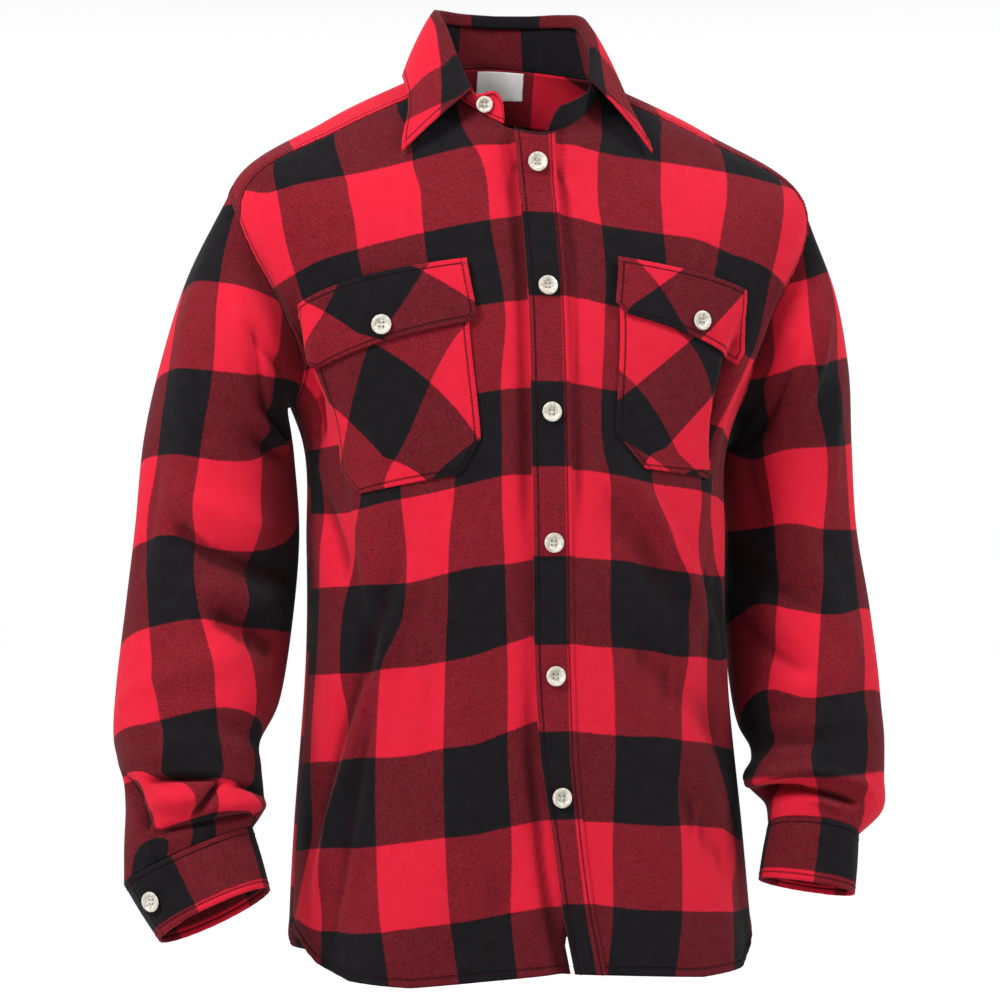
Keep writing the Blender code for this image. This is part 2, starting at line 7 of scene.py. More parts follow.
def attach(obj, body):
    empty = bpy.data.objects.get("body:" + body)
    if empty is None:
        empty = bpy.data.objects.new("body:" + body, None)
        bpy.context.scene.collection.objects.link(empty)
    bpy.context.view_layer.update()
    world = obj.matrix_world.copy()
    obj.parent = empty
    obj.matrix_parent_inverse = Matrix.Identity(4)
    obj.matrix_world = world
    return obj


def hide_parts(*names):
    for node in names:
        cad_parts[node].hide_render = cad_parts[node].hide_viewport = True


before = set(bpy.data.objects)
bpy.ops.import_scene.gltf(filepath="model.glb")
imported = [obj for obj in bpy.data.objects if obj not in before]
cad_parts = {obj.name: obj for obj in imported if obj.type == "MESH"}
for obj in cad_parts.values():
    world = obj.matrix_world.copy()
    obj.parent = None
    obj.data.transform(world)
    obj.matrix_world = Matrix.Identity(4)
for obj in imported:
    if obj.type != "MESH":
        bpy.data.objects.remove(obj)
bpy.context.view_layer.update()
print("packed shirt loaded")

sides = (("right", -1), ("left", 1))
ends = ("first", "last")    # edges of a grid: its first and last column, foot and top row
sheets = {}                 # each piece of cloth with its stitches
moved = {}                  # cloth that lies off the cut below a button: points and the way out


def through(before, first, second, after, part):
    # smooth curve from first to second that leans on its neighbours
    return .5 * (2 * first + (second - before) * part
                 + (2 * before - 5 * first + 4 * second - after) * part ** 2
                 + (3 * first - before - 3 * second + after) * part ** 3)


def spline(table, at):
    # rows of a table as a smooth curve, at counts the rows
    table = np.asarray(table, float)
    at = np.clip(np.asarray(at, float), 0, len(table) - 1)
    row = np.minimum(at.astype(int), len(table) - 2)
    part = (at - row).reshape(at.shape + (1,) * (table.ndim - 1))
    padded = np.concatenate([2 * table[:1] - table[1:2], table, 2 * table[-1:] - table[-2:-1]])
    return through(*(padded[row + step] for step in range(4)), part)


def lookup(table, at):
    # the same by the values in the first column
    table = np.asarray(table, float)
    return spline(table, np.interp(at, table[:, 0], np.arange(len(table))))[..., 1:]


def read(table, at):
    # straight between the pairs of a table
    return np.interp(at, *np.transpose(table))


def blend(low, high, share):
    return low + (high - low) * share


def ease(share):
    share = np.clip(share, 0, 1)
    return share * share * (3 - 2 * share)


def fromFront(angle):
    return np.where(angle > 180, 360 - angle, angle)


def unit(vector):
    return vector / np.maximum(np.linalg.norm(vector, axis=-1, keepdims=True), 1e-12)


def sided(kind, side):
    return kind + side.capitalize()


def foldHeight(rows, angle, ring, perRing=20, fade=0):
    # sum of soft ridges and hollows, each along a line on the cloth, weaker by fade at its ends
    angle, ring = np.broadcast_arrays(np.asarray(angle, float), np.asarray(ring, float))
    total = np.zeros(angle.shape)
    for a0, r0, a1, r1, width, height in rows:
        run, rise = (a1 - a0) / perRing, r1 - r0
        along = ((angle - a0) / perRing * run + (ring - r0) * rise) / (run ** 2 + rise ** 2)
        along = np.clip(along, 0, 1)
        offAngle = angle - (a0 + (a1 - a0) * along)
        offRing = (ring - (r0 + (r1 - r0) * along)) * perRing
        full = height * (1 - fade * np.abs(2 * along - 1) ** 3)
        total += full * np.exp(-(offAngle ** 2 + offRing ** 2) / width ** 2)
    return total


def normals(grid, middle, around=False):
    # the way out of the cloth at every point of a grid
    wide = np.concatenate([grid[:, -1:], grid, grid[:, :1]], 1) if around else grid
    normal = unit(np.cross(np.gradient(wide, axis=1), np.gradient(wide, axis=0)))
    if around:
        normal = normal[:, 1:-1]
    return normal if np.sum(normal * (grid - middle)) > 0 else -normal


def lengthsAcross(grid):
    step = np.linalg.norm(np.diff(grid, axis=1), axis=-1)
    return np.concatenate([np.zeros((len(grid), 1)), np.cumsum(step, 1)], 1)


def lengthsDown(grid):
    return lengthsAcross(grid.swapaxes(0, 1)).swapaxes(0, 1)


def fromEdge(grid, edge):
    # distance of every point from one edge, measured over the cloth
    if edge in ends:
        length = lengthsAcross(grid)
        return length if edge == "first" else length[:, -1:] - length
    length = lengthsDown(grid)
    return length if edge == "foot" else length[-1:] - length


def seamsAt(grid, edges, inset):
    # nearness to the stitched lines: 1 on the stitches, less towards the edge
    return np.min([fromEdge(grid, edge) / inset for edge in edges], 0)


def dressSeam(grid, middle, edge, lap=0, reach=.006, pucker=.00025, pitch=.011):
    # lap raises the edge that lies on top, pucker is the ripple that sewing leaves
    away = fromEdge(grid, edge) / reach
    run = lengthsDown(grid) if edge in ends else lengthsAcross(grid)
    uneven = 2.1 * np.sin(run * 47)
    wave = np.sin(run * 2 * np.pi / pitch + uneven) * np.exp(-away ** 2)
    grid += normals(grid, middle) * (pucker * wave + lap * ease(1.35 - away))[..., None]


def insetLine(grid, middle, edge, distance, start=0):
    # points on the cloth at a distance from an edge, with the way out at each
    away, normal = fromEdge(grid, edge), normals(grid, middle)
    points, facing = [], []
    count = grid.shape[0 if edge in ends else 1]
    for index in range(int(start * (count - 1)), count):
        pick = index if edge in ends else (slice(None), index)
        order = np.argsort(away[pick])
        for found, values in ((points, grid[pick]), (facing, normal[pick])):
            found.append([np.interp(distance, away[pick][order], values[order, k]) for k in range(3)])
    points, facing = np.array(points), np.array(facing)
    return points + facing * .00025, facing    # the thread lies on the cloth


def hollowsOf(grid, middle, around):
    # millimetres that each point lies below the cloth about it; it sets the painted shade in the creases
    wide = grid
    for axis in (0, 0, 0, 1, 1, 1):
        size = grid.shape[axis]
        edge = "wrap" if around and axis else "edge"
        padded = np.pad(wide, [(3, 3) if side == axis else (0, 0) for side in range(3)], mode=edge)
        wide = sum(np.take(padded, range(step, step + size), axis=axis) for step in range(7)) / 7
    return np.sum((wide - grid) * normals(grid, middle, around), -1) * 1000


def addObject(name, data):
    made = bpy.data.objects.new(name, data)
    bpy.context.scene.collection.objects.link(made)
    return made


def baked(thing, *others):
    # mesh of an object with its modifiers, which then goes
    graph = bpy.context.evaluated_depsgraph_get()
    mesh = bpy.data.meshes.new_from_object(thing.evaluated_get(graph))
    for used in (thing, *others):
        bpy.data.objects.remove(used, do_unlink=True)
    return mesh


def addMesh(name, points, faces, material, uv=None, values=None):
    mesh = bpy.data.meshes.new(name)
    mesh.from_pydata([tuple(p) for p in points], [], faces)
    mesh.materials.append(material)
    if uv is not None:
        layer = mesh.uv_layers.new(name="cloth")
        corners = np.empty(len(mesh.loops), int)
        mesh.loops.foreach_get("vertex_index", corners)
        layer.data.foreach_set("uv", np.asarray(uv, np.float32)[corners].ravel())
    for key, value in (values or {}).items():
        mesh.attributes.new(key, "FLOAT", "POINT").data.foreach_set(
            "value", np.asarray(value, np.float32).ravel())
    mesh.polygons.foreach_set("use_smooth", np.ones(len(mesh.polygons), bool))
    mesh.update()
    return addObject(name, mesh)


def addCloth(name, grid, uv, middle, around=False, thickness=.0012, seam=None, material=None):
    # sheet from a grid of outer points; the inner face is set back by its thickness
    hollow = hollowsOf(grid, middle, around)
    if around:
        hollow = np.concatenate([hollow, hollow[:, :1]], 1)
        grid = np.concatenate([grid, grid[:, :1]], 1)
    index = np.arange(hollow.size).reshape(hollow.shape)
    quads = np.stack([index[:-1, :-1], index[:-1, 1:], index[1:, 1:], index[1:, :-1]], -1).reshape(-1, 4)
    flat = grid.reshape(-1, 3)
    a, b, _, d = (flat[corner] for corner in quads.T)
    if np.sum(np.cross(b - a, d - a) * (a - middle)) < 0:
        quads = quads[:, ::-1]
    seam = np.full(hollow.shape, 5.0) if seam is None else seam
    # hollow goes with the mesh and sets the painted shade in the creases
    piece = addMesh(name, flat, quads.tolist(), material or flannelCheck, uv.reshape(-1, 2),
                    {"seam": np.clip(seam, 0, 5), "hollow": np.clip(hollow, -5, 8)})
    if around:
        piece.modifiers.new("close", "WELD").merge_threshold = .00001
    shell = piece.modifiers.new("thickness", "SOLIDIFY")
    shell.thickness, shell.offset, shell.use_even_offset = thickness, -1, False
    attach(piece, "root")
    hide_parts("".join("_" + c.lower() if c.isupper() else c for c in name))
    sheets[name] = [piece]


def addSewn(name, grid, uv, middle, edges, inset, dressed=None, sewnAt=None, **cloth):
    # edges are sewn at an inset; dressed is the lap, reach, pucker and pitch of such a seam
    for edge in edges if dressed else ():
        dressSeam(grid, middle, edge, *dressed)
    addCloth(name, grid, uv, middle, seam=seamsAt(grid, edges, inset), **cloth)
    sew(name, [insetLine(grid, middle, edge, inset) for edge in sewnAt or edges])


class Maths:
    # a socket that can be written into an expression
    def __init__(self, tree, socket=None):
        self.tree, self.socket = tree, socket

    def node(self, kind, settings=None, output=0, **values):
        made = self.tree.nodes.new(kind)
        for name, value in (settings or {}).items():
            setattr(made, name, value)
        for name, value in values.items():
            key = int(name[1:]) if name[0] == "i" and name[1:].isdigit() else name.replace("_", " ")
            if isinstance(value, Maths):
                value.into(made, key)
            else:
                made.inputs[key].default_value = value
        return Maths(self.tree, made.outputs[output])

    def into(self, node, key):
        self.tree.links.new(self.socket, node.inputs[key])

    def maths(self, operation, *other):
        values = dict(zip(("i0", "i1"), (self, *other)))
        return self.node("ShaderNodeMath", {"operation": operation}, **values)

    def __add__(self, other):
        return self.maths("ADD", other)

    __radd__ = __add__

    def __sub__(self, other):
        return self.maths("SUBTRACT", other)

    def __mul__(self, other):
        return self.maths("MULTIPLY", other)

    def sine(self):
        return self.maths("SINE")

    def clipped(self):
        return self.maths("MAXIMUM", 0.0).maths("MINIMUM", 1.0)

    def part(self, axis):
        return self.node("ShaderNodeSeparateXYZ", output=axis, i0=self)

    def times(self, sizes):
        return self.node("ShaderNodeVectorMath", {"operation": "MULTIPLY"}, i0=self, i1=sizes)

    def smooth(self, low, high):
        return self.node("ShaderNodeMapRange", {"interpolation_type": "SMOOTHSTEP"}, Value=self,
                         From_Min=low, From_Max=high)

    def noise(self, scale, detail, **more):
        return self.node("ShaderNodeTexNoise", Vector=self, Scale=scale, Detail=detail, **more)

    def bump(self, strength, distance, **more):
        return self.node("ShaderNodeBump", Strength=strength, Distance=distance, Height=self, **more)

    def mixColour(self, first, second):
        return self.node("ShaderNodeMix", {"data_type": "RGBA"}, 2, i0=self, i6=first, i7=second)


def newMaterial(name, **fixed):
    # material, its shader and the place on the object
    made = bpy.data.materials.new(name)
    made.use_nodes = True
    shader = made.node_tree.nodes["Principled BSDF"]
    for key, value in fixed.items():
        shader.inputs[key.replace("_", " ")].default_value = value
    return made, shader, Maths(made.node_tree).node("ShaderNodeTexCoord", output=3)


flannel = {
    "stripeWidth": .0595, "stripeHeight": .0725,
    "red": (.53, .008, .024, 1),
    "redWorn": (.63, .024, .054, 1),
    "black": (.0030, .0028, .0034, 1),
    "blackWorn": (.0120, .0100, .0118, 1),
    "warpRed": .165,            # share of red seen where a red warp crosses a black weft
    "weftRed": .265,            # and where a red weft crosses a black warp
    "heather": .21,             # how strongly single threads show in it
    "groove": .36,              # painted shade in the groove along a line of stitches
    "hollow": .62,              # painted shade in the hollows of the creases: how strongly they darken
    # colour of that painted shade in the hollows
    "deep": (.010, .0012, .0020, 1),
    "edgeBlur": .036,           # softness of a stripe's edge, in stripes
    "nap": .45,
}


def flannelMaterial(look):
    made, shader, place = newMaterial("flannelCheck", Sheen_Weight=.03, Sheen_Roughness=.5,
                                      Roughness=.95, Specular_IOR_Level=.08)
    uv = place.node("ShaderNodeUVMap", {"uv_map": "cloth"})
    metres = uv.times((look["stripeWidth"], look["stripeHeight"], 1))
    wander = (place.noise(420, 2) - .5) * .02
    warp, weft = (((uv.part(axis) + wander) * np.pi).sine().smooth(-look["edgeBlur"], look["edgeBlur"])
                  for axis in (0, 1))
    # fine mottle of the brushed threads, and the streaks that run along the weft
    streak = place.times((430, 430, 760)).noise(1, 3)
    grain = place.noise(1000, 2)
    twill = ((metres.part(0) + metres.part(1)) * 4200).sine()
    nap = place.noise(95, 4)
    heather = (streak - .5) * 1.5 + (grain - .5) * .9 + twill * .07
    both = warp * weft
    share = both * (.95 + heather * .10) + (warp - both) * (look["warpRed"] + heather * look["heather"])
    share = share + (weft - both) * (look["weftRed"] + heather * look["heather"] * 1.25)
    red = (nap * look["nap"] + heather * .18).mixColour(look["red"], look["redWorn"])
    black = (nap * .9 + heather * .35).mixColour(look["black"], look["blackWorn"])
    # sewn edges: the cloth is pulled in along the stitches and stands up beside them; the groove gets
    # painted shade
    seam = place.node("ShaderNodeAttribute", {"attribute_name": "seam"}, 2)
    groove = (seam - 1).maths("ABSOLUTE").smooth(.26, .02)
    sewn = (groove * look["groove"]).mixColour(share.clipped().mixColour(black, red), look["black"])
    # painted shade: the cloth darkens towards the deep colour where it lies in the hollows of its
    # creases
    deep = place.node("ShaderNodeAttribute", {"attribute_name": "hollow"}, 2).smooth(.1, 3.2)
    (deep * look["hollow"]).mixColour(sewn, look["deep"]).into(shader, "Base Color")
    ply = (seam.smooth(1.1, .75) - groove * .9).bump(.8, .0009)
    thread = grain * .5 + streak * .3 + twill * .12 + nap * .6
    thread.bump(.35, .0006, Normal=ply).into(shader, "Normal")
    return made


def threadMaterial(name, colour):
    made, shader, place = newMaterial(name, Roughness=.8, Specular_IOR_Level=.12)
    ply = place.noise(1400, 2)
    ply.mixColour(tuple(c * .55 for c in colour[:3]) + (1,), colour).into(shader, "Base Color")
    ply.bump(.4, .0002).into(shader, "Normal")
    return made


def pearlMaterial():
    made, shader, place = newMaterial("pearlButton", Roughness=.28, Coat_Weight=.5,
                                      Coat_Roughness=.12, IOR=1.53)
    band = (place.noise(120, 3, Distortion=1.6) * 26).sine()
    cloud = place.noise(420, 4)
    share = (band * .32 + cloud * .7 - .1).clipped()
    share.mixColour((.62, .58, .50, 1), (.27, .23, .18, 1)).into(shader, "Base Color")
    cloud.bump(.12, .0004).into(shader, "Normal")
    return made


def labelMaterial():
    made, shader, place = newMaterial("wovenLabel", Roughness=.55, Sheen_Weight=.2)
    uv = place.node("ShaderNodeUVMap", {"uv_map": "cloth"})
    weave = (uv.part(0) * 9000).sine() * (uv.part(1) * 9000).sine()
    cloud = place.noise(160, 3)
    cloud.mixColour((.74, .73, .71, 1), (.90, .89, .87, 1)).into(shader, "Base Color")
    (weave + cloud).bump(.3, .0003).into(shader, "Normal")
    return made


flannelCheck = flannelMaterial(flannel)
darkThread = threadMaterial("darkThread", (.040, .005, .008, 1))
paleThread = threadMaterial("paleThread", (.62, .58, .50, 1))
pearlButton = pearlMaterial()
wovenLabel = labelMaterial()
print("materials made")

# pitch, length, width and height of the stitches in cloth and of the thread through a button
stitchSizes = {"cloth": (.0030, .0021, .00060, .00042), "button": (.0004, .0007, .00042, .00042)}


def stitchTree():
    tree = bpy.data.node_groups.new("stitches", "GeometryNodeTree")
    sockets = (("Line", "Geometry"), ("Pitch", "Float"), ("Length", "Float"), ("Width", "Float"),
               ("Height", "Float"), ("Thread", "Material"))
    for name, kind in sockets:
        tree.interface.new_socket(name, in_out="INPUT", socket_type="NodeSocket" + kind)
    tree.interface.new_socket("Stitches", in_out="OUTPUT", socket_type="NodeSocketGeometry")
    given = tree.nodes.new("NodeGroupInput").outputs
    line, pitch, length, width, height, thread = (Maths(tree, given[name]) for name, _ in sockets)
    m = Maths(tree)
    curve = m.node("GeometryNodeMeshToCurve", Mesh=line)
    even = m.node("GeometryNodeResampleCurve", {"mode": "LENGTH"}, Curve=curve, Length=pitch)
    ball = m.node("GeometryNodeMeshUVSphere", Segments=6, Rings=4, Radius=.5)
    size = m.node("ShaderNodeCombineXYZ", i0=length, i1=width, i2=height)
    shape = m.node("GeometryNodeTransform", Geometry=ball, Scale=size)
    along = m.node("FunctionNodeAlignRotationToVector", {"axis": "X"},
                   Vector=m.node("GeometryNodeInputTangent"))
    facing = m.node("GeometryNodeInputNamedAttribute", {"data_type": "FLOAT_VECTOR"}, Name="facing")
    stand = m.node("FunctionNodeAlignRotationToVector", {"axis": "Z", "pivot_axis": "X"},
                   Rotation=along, Vector=facing)
    placed = m.node("GeometryNodeInstanceOnPoints", Points=even, Instance=shape, Rotation=stand)
    rounded = m.node("GeometryNodeSetShadeSmooth", Geometry=placed)
    real = m.node("GeometryNodeRealizeInstances", Geometry=rounded)
    m.node("GeometryNodeSetMaterial", Geometry=real, Material=thread).into(
        tree.nodes.new("NodeGroupOutput"), 0)
    return tree


seamStitches = stitchTree()


def sew(sewn, lines, kind="cloth"):
    # each line is its points and the way out at each; one mesh holds the stitches of a piece
    name = sewn + ("Stitches" if kind == "cloth" else "Threads")
    points, facing, edges = [], [], []
    for line, out in lines:
        edges += [(k, k + 1) for k in range(len(points), len(points) + len(line) - 1)]
        points += [tuple(p) for p in line]
        facing += [tuple(n) for n in out]
    mesh = bpy.data.meshes.new(name)
    mesh.from_pydata(points, edges, [])
    mesh.attributes.new("facing", "FLOAT_VECTOR", "POINT").data.foreach_set(
        "vector", np.array(facing, np.float32).ravel())
    source = addObject(name + "Line", mesh)
    needle = source.modifiers.new("stitches", "NODES")
    needle.node_group = seamStitches
    inputs = [item for item in seamStitches.interface.items_tree if item.in_out == "INPUT"]
    thread = darkThread if kind == "cloth" else paleThread
    for item, value in zip(inputs[1:], stitchSizes[kind] + (thread,)):
        needle[item.identifier] = value
    stitches = addObject(name, baked(source))
    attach(stitches, "root")
    sheets.setdefault(sewn, []).append(stitches)


body = {
    "middle": np.array([0, 0, -.35]),
    # hem to neck: heights at front, side and back, half width, depths to front and back,
    # how square the ring is, shift of its middle in y and x
    "rings": np.array([
        (-.7280, -.7280, -.7280, .1960, .1330, .1400, 2.25, .0000, .0060),
        (-.6200, -.6200, -.6200, .1880, .1260, .1320, 2.25, .0000, .0030),
        (-.4800, -.4800, -.4800, .1760, .1200, .1220, 2.25, .0000, .0010),
        (-.3800, -.3800, -.3800, .1750, .1170, .1240, 2.30, .0000, .0010),
        (-.2950, -.2950, -.2950, .1790, .1120, .1300, 2.35, .0000, .0010),
        (-.2050, -.2000, -.2050, .2190, .1040, .1280, 2.35, .0000, .0030),
        (-.1350, -.0920, -.1150, .2440, .0920, .1120, 2.30, .0020, .0060),
        (-.0920, -.0330, -.0380, .1620, .0900, .0800, 2.10, .0100, .0030),
        (-.0480, .0100, .0240, .0740, .0960, .0600, 1.80, .0200, .0000),
    ]),
    # how far the hem is cut up at each angle
    "hem": ((0, .09), (15, .05), (35, .00), (55, .02), (70, .12), (82, .28), (90, .34),
            (98, .28), (110, .12), (128, .02), (150, .00), (180, .00)),
    # armhole seam: angle round the armhole, angle round the body, ring
    "armhole": np.array([
        (0, 90.0, 6.00), (36, 78.0, 5.72), (60, 73.0, 5.44), (84, 70.5, 5.15),
        (108, 70.0, 4.86), (132, 73.0, 4.60), (156, 80.0, 4.40), (180, 90.0, 4.30),
        (204, 101.0, 4.40), (228, 109.0, 4.62), (252, 114.0, 4.88), (276, 115.0, 5.18),
        (300, 112.5, 5.46), (324, 105.0, 5.73), (360, 90.0, 6.00),
    ]),
    "armholeFoot": 4.3,        # its lowest ring
    "neckRing": 8.0,
    "neckAngles": (4, 20, 36, 52, 67),
    "sideRings": (0, .25, .6, 1.0, 1.4, 1.8, 2.2, 2.6, 3.0, 3.4, 3.7, 4.0),
    "yokeBack": 6.15,          # ring of the yoke's seam at the middle of the back
    "yokeBow": .8,             # how square that seam is
    # large folds of the cut pieces: from (angle, ring) to (angle, ring), width in degrees, height
    "folds": (
        (-74, 4.9, -63, 2.7, 10, -.0045), (-52, 4.4, -42, 2.6, 12, .0030),
        (72, 4.9, 62, 2.7, 10, -.0045), (52, 4.4, 42, 2.6, 12, .0025),
        (-38, 2.6, -62, 0.3, 11, -.0050), (-24, 2.6, -40, 0.2, 10, .0045),
        (30, 2.4, 44, 0.2, 12, .0040), (52, 2.4, 66, 0.2, 10, -.0045),
        (120, 4.6, 140, 1.0, 11, -.0050), (150, 5.2, 160, 0.2, 10, .0045),
        (-120, 4.6, -140, 1.0, 11, -.0050), (-150, 5.2, -160, 0.2, 10, .0045),
    ),
    # finer creases laid over them, and how strong they are
    "creases": (
        (-36, 2.75, -48, 2.07, 2.6, .0042), (-48, 2.07, -66, 1.21, 2.6, .0050),
        (-66, 1.21, -71, .60, 2.8, .0040), (-44, 2.60, -56, 2.00, 4.0, -.0040),
        (-56, 2.00, -74, 1.10, 4.5, -.0056), (-80, 3.41, -64, 2.75, 4.5, -.0070),
        (-61, 5.05, -68, 4.60, 3.4, -.0080), (-68, 4.60, -79, 4.05, 3.6, -.0090),
        (-55, 5.00, -62, 4.45, 3.6, .0040), (-76, 4.75, -80, 4.45, 3.2, .0030),
        (14, 3.70, 25, 3.31, 3.0, .0046), (25, 3.31, 40, 2.68, 3.0, .0056),
        (40, 2.68, 61, 2.18, 3.4, .0050), (14, 3.20, 36, 2.40, 5.5, -.0050),
        (19, 2.21, 34, 1.86, 5.0, -.0056), (34, 1.86, 69, 1.54, 5.0, -.0064),
        (32, 1.36, 39, 1.13, 4.6, -.0044), (39, 1.13, 52, .80, 4.6, -.0050),
        (45, 4.95, 49, 4.35, 3.2, -.0066), (49, 4.35, 54, 3.85, 3.2, -.0066),
        (-30, 2.20, -34, 1.40, 6.0, -.0036), (-22, 1.60, -30, .30, 6.0, .0030),
        (24, .90, 30, .10, 5.5, .0034), (-12, .90, -16, .10, 5.0, -.0034),
        (-66, 3.5, -52, 2.0, 3.0, -.0022), (-58, 3.4, -44, 1.9, 3.0, .0016),
        (-44, 2.1, -58, 0.4, 2.6, .0016), (-49, 2.2, -63, 0.4, 2.6, -.0020),
        (-71, 5.3, -66, 4.3, 3.0, -.0026), (-64, 5.4, -60, 4.6, 3.5, .0016),
        (70, 5.3, 65, 4.3, 3.0, -.0024), (63, 5.4, 59, 4.6, 3.5, .0016),
        (58, 3.5, 50, 2.2, 3.0, -.0018), (64, 3.4, 72, 1.8, 3.0, .0014),
        (20, 3.4, 16, 1.4, 4.0, .0012), (-16, 3.6, -12, 1.4, 4.0, -.0012),
        (100, 3.9, 116, 2.4, 4.0, -.0020), (-100, 3.9, -116, 2.4, 4.0, -.0020),
        (130, 5.3, 150, 4.4, 5.0, -.0018), (-130, 5.3, -150, 4.4, 5.0, -.0018),
        (170, 4.6, 176, 1.4, 5.0, .0016), (-166, 4.0, -172, 1.2, 5.0, -.0014),
    ),
    "creaseStrength": 1.4,
    "hemSeam": (.0003, .005),      # lap and reach
    "hemStitches": .0065,          # from the edge
    "underYoke": (-.0005, .004),
}


def bodyForm(angle, ring):
    angle, ring = np.broadcast_arrays(np.asarray(angle, float), np.asarray(ring, float))
    around = np.abs((angle + 180) % 360 - 180)
    ring = ring + read(body["hem"], around) * np.clip(1 - ring, 0, 1)
    frontZ, sideZ, backZ, half, front, back, square, shiftY, shiftX = np.moveaxis(
        spline(body["rings"], ring), -1, 0)
    across, ahead = np.sin(np.radians(angle)), np.cos(np.radians(angle))
    depth = np.where(ahead > 0, front, back)
    endZ = np.where(ahead > 0, frontZ, backZ)
    return np.stack([
        shiftX + half * np.sign(across) * np.abs(across) ** (2 / square),
        shiftY - depth * np.sign(ahead) * np.abs(ahead) ** (2 / square),
        sideZ + (endZ - sideZ) * np.abs(ahead) ** 1.6], -1)


def bodyPoint(angle, ring, lift=0):
    # point of the cloth: the form, its slope from small steps either way, and the folds on it
    around = bodyForm(angle + .5, ring) - bodyForm(angle - .5, ring)
    above, below = np.minimum(ring + .02, body["neckRing"]), np.maximum(ring - .02, 0)
    normal = unit(np.cross(around, bodyForm(angle, above) - bodyForm(angle, below)))
    turned = (np.asarray(angle, float) + 180) % 360 - 180
    fine = body["creaseStrength"] * foldHeight(body["creases"], turned, ring, fade=.5)
    height = foldHeight(body["folds"], turned, ring) + fine + lift
    return bodyForm(angle, ring) + normal * height[..., None]


def angleAt(ring, x):
    # angle of the body's front at a place across it
    values = spline(body["rings"], ring)
    ratio = np.clip((x - values[..., 8]) / values[..., 3], -1, 1)
    return np.degrees(np.arcsin(np.sign(ratio) * np.abs(ratio) ** (values[..., 6] / 2)))


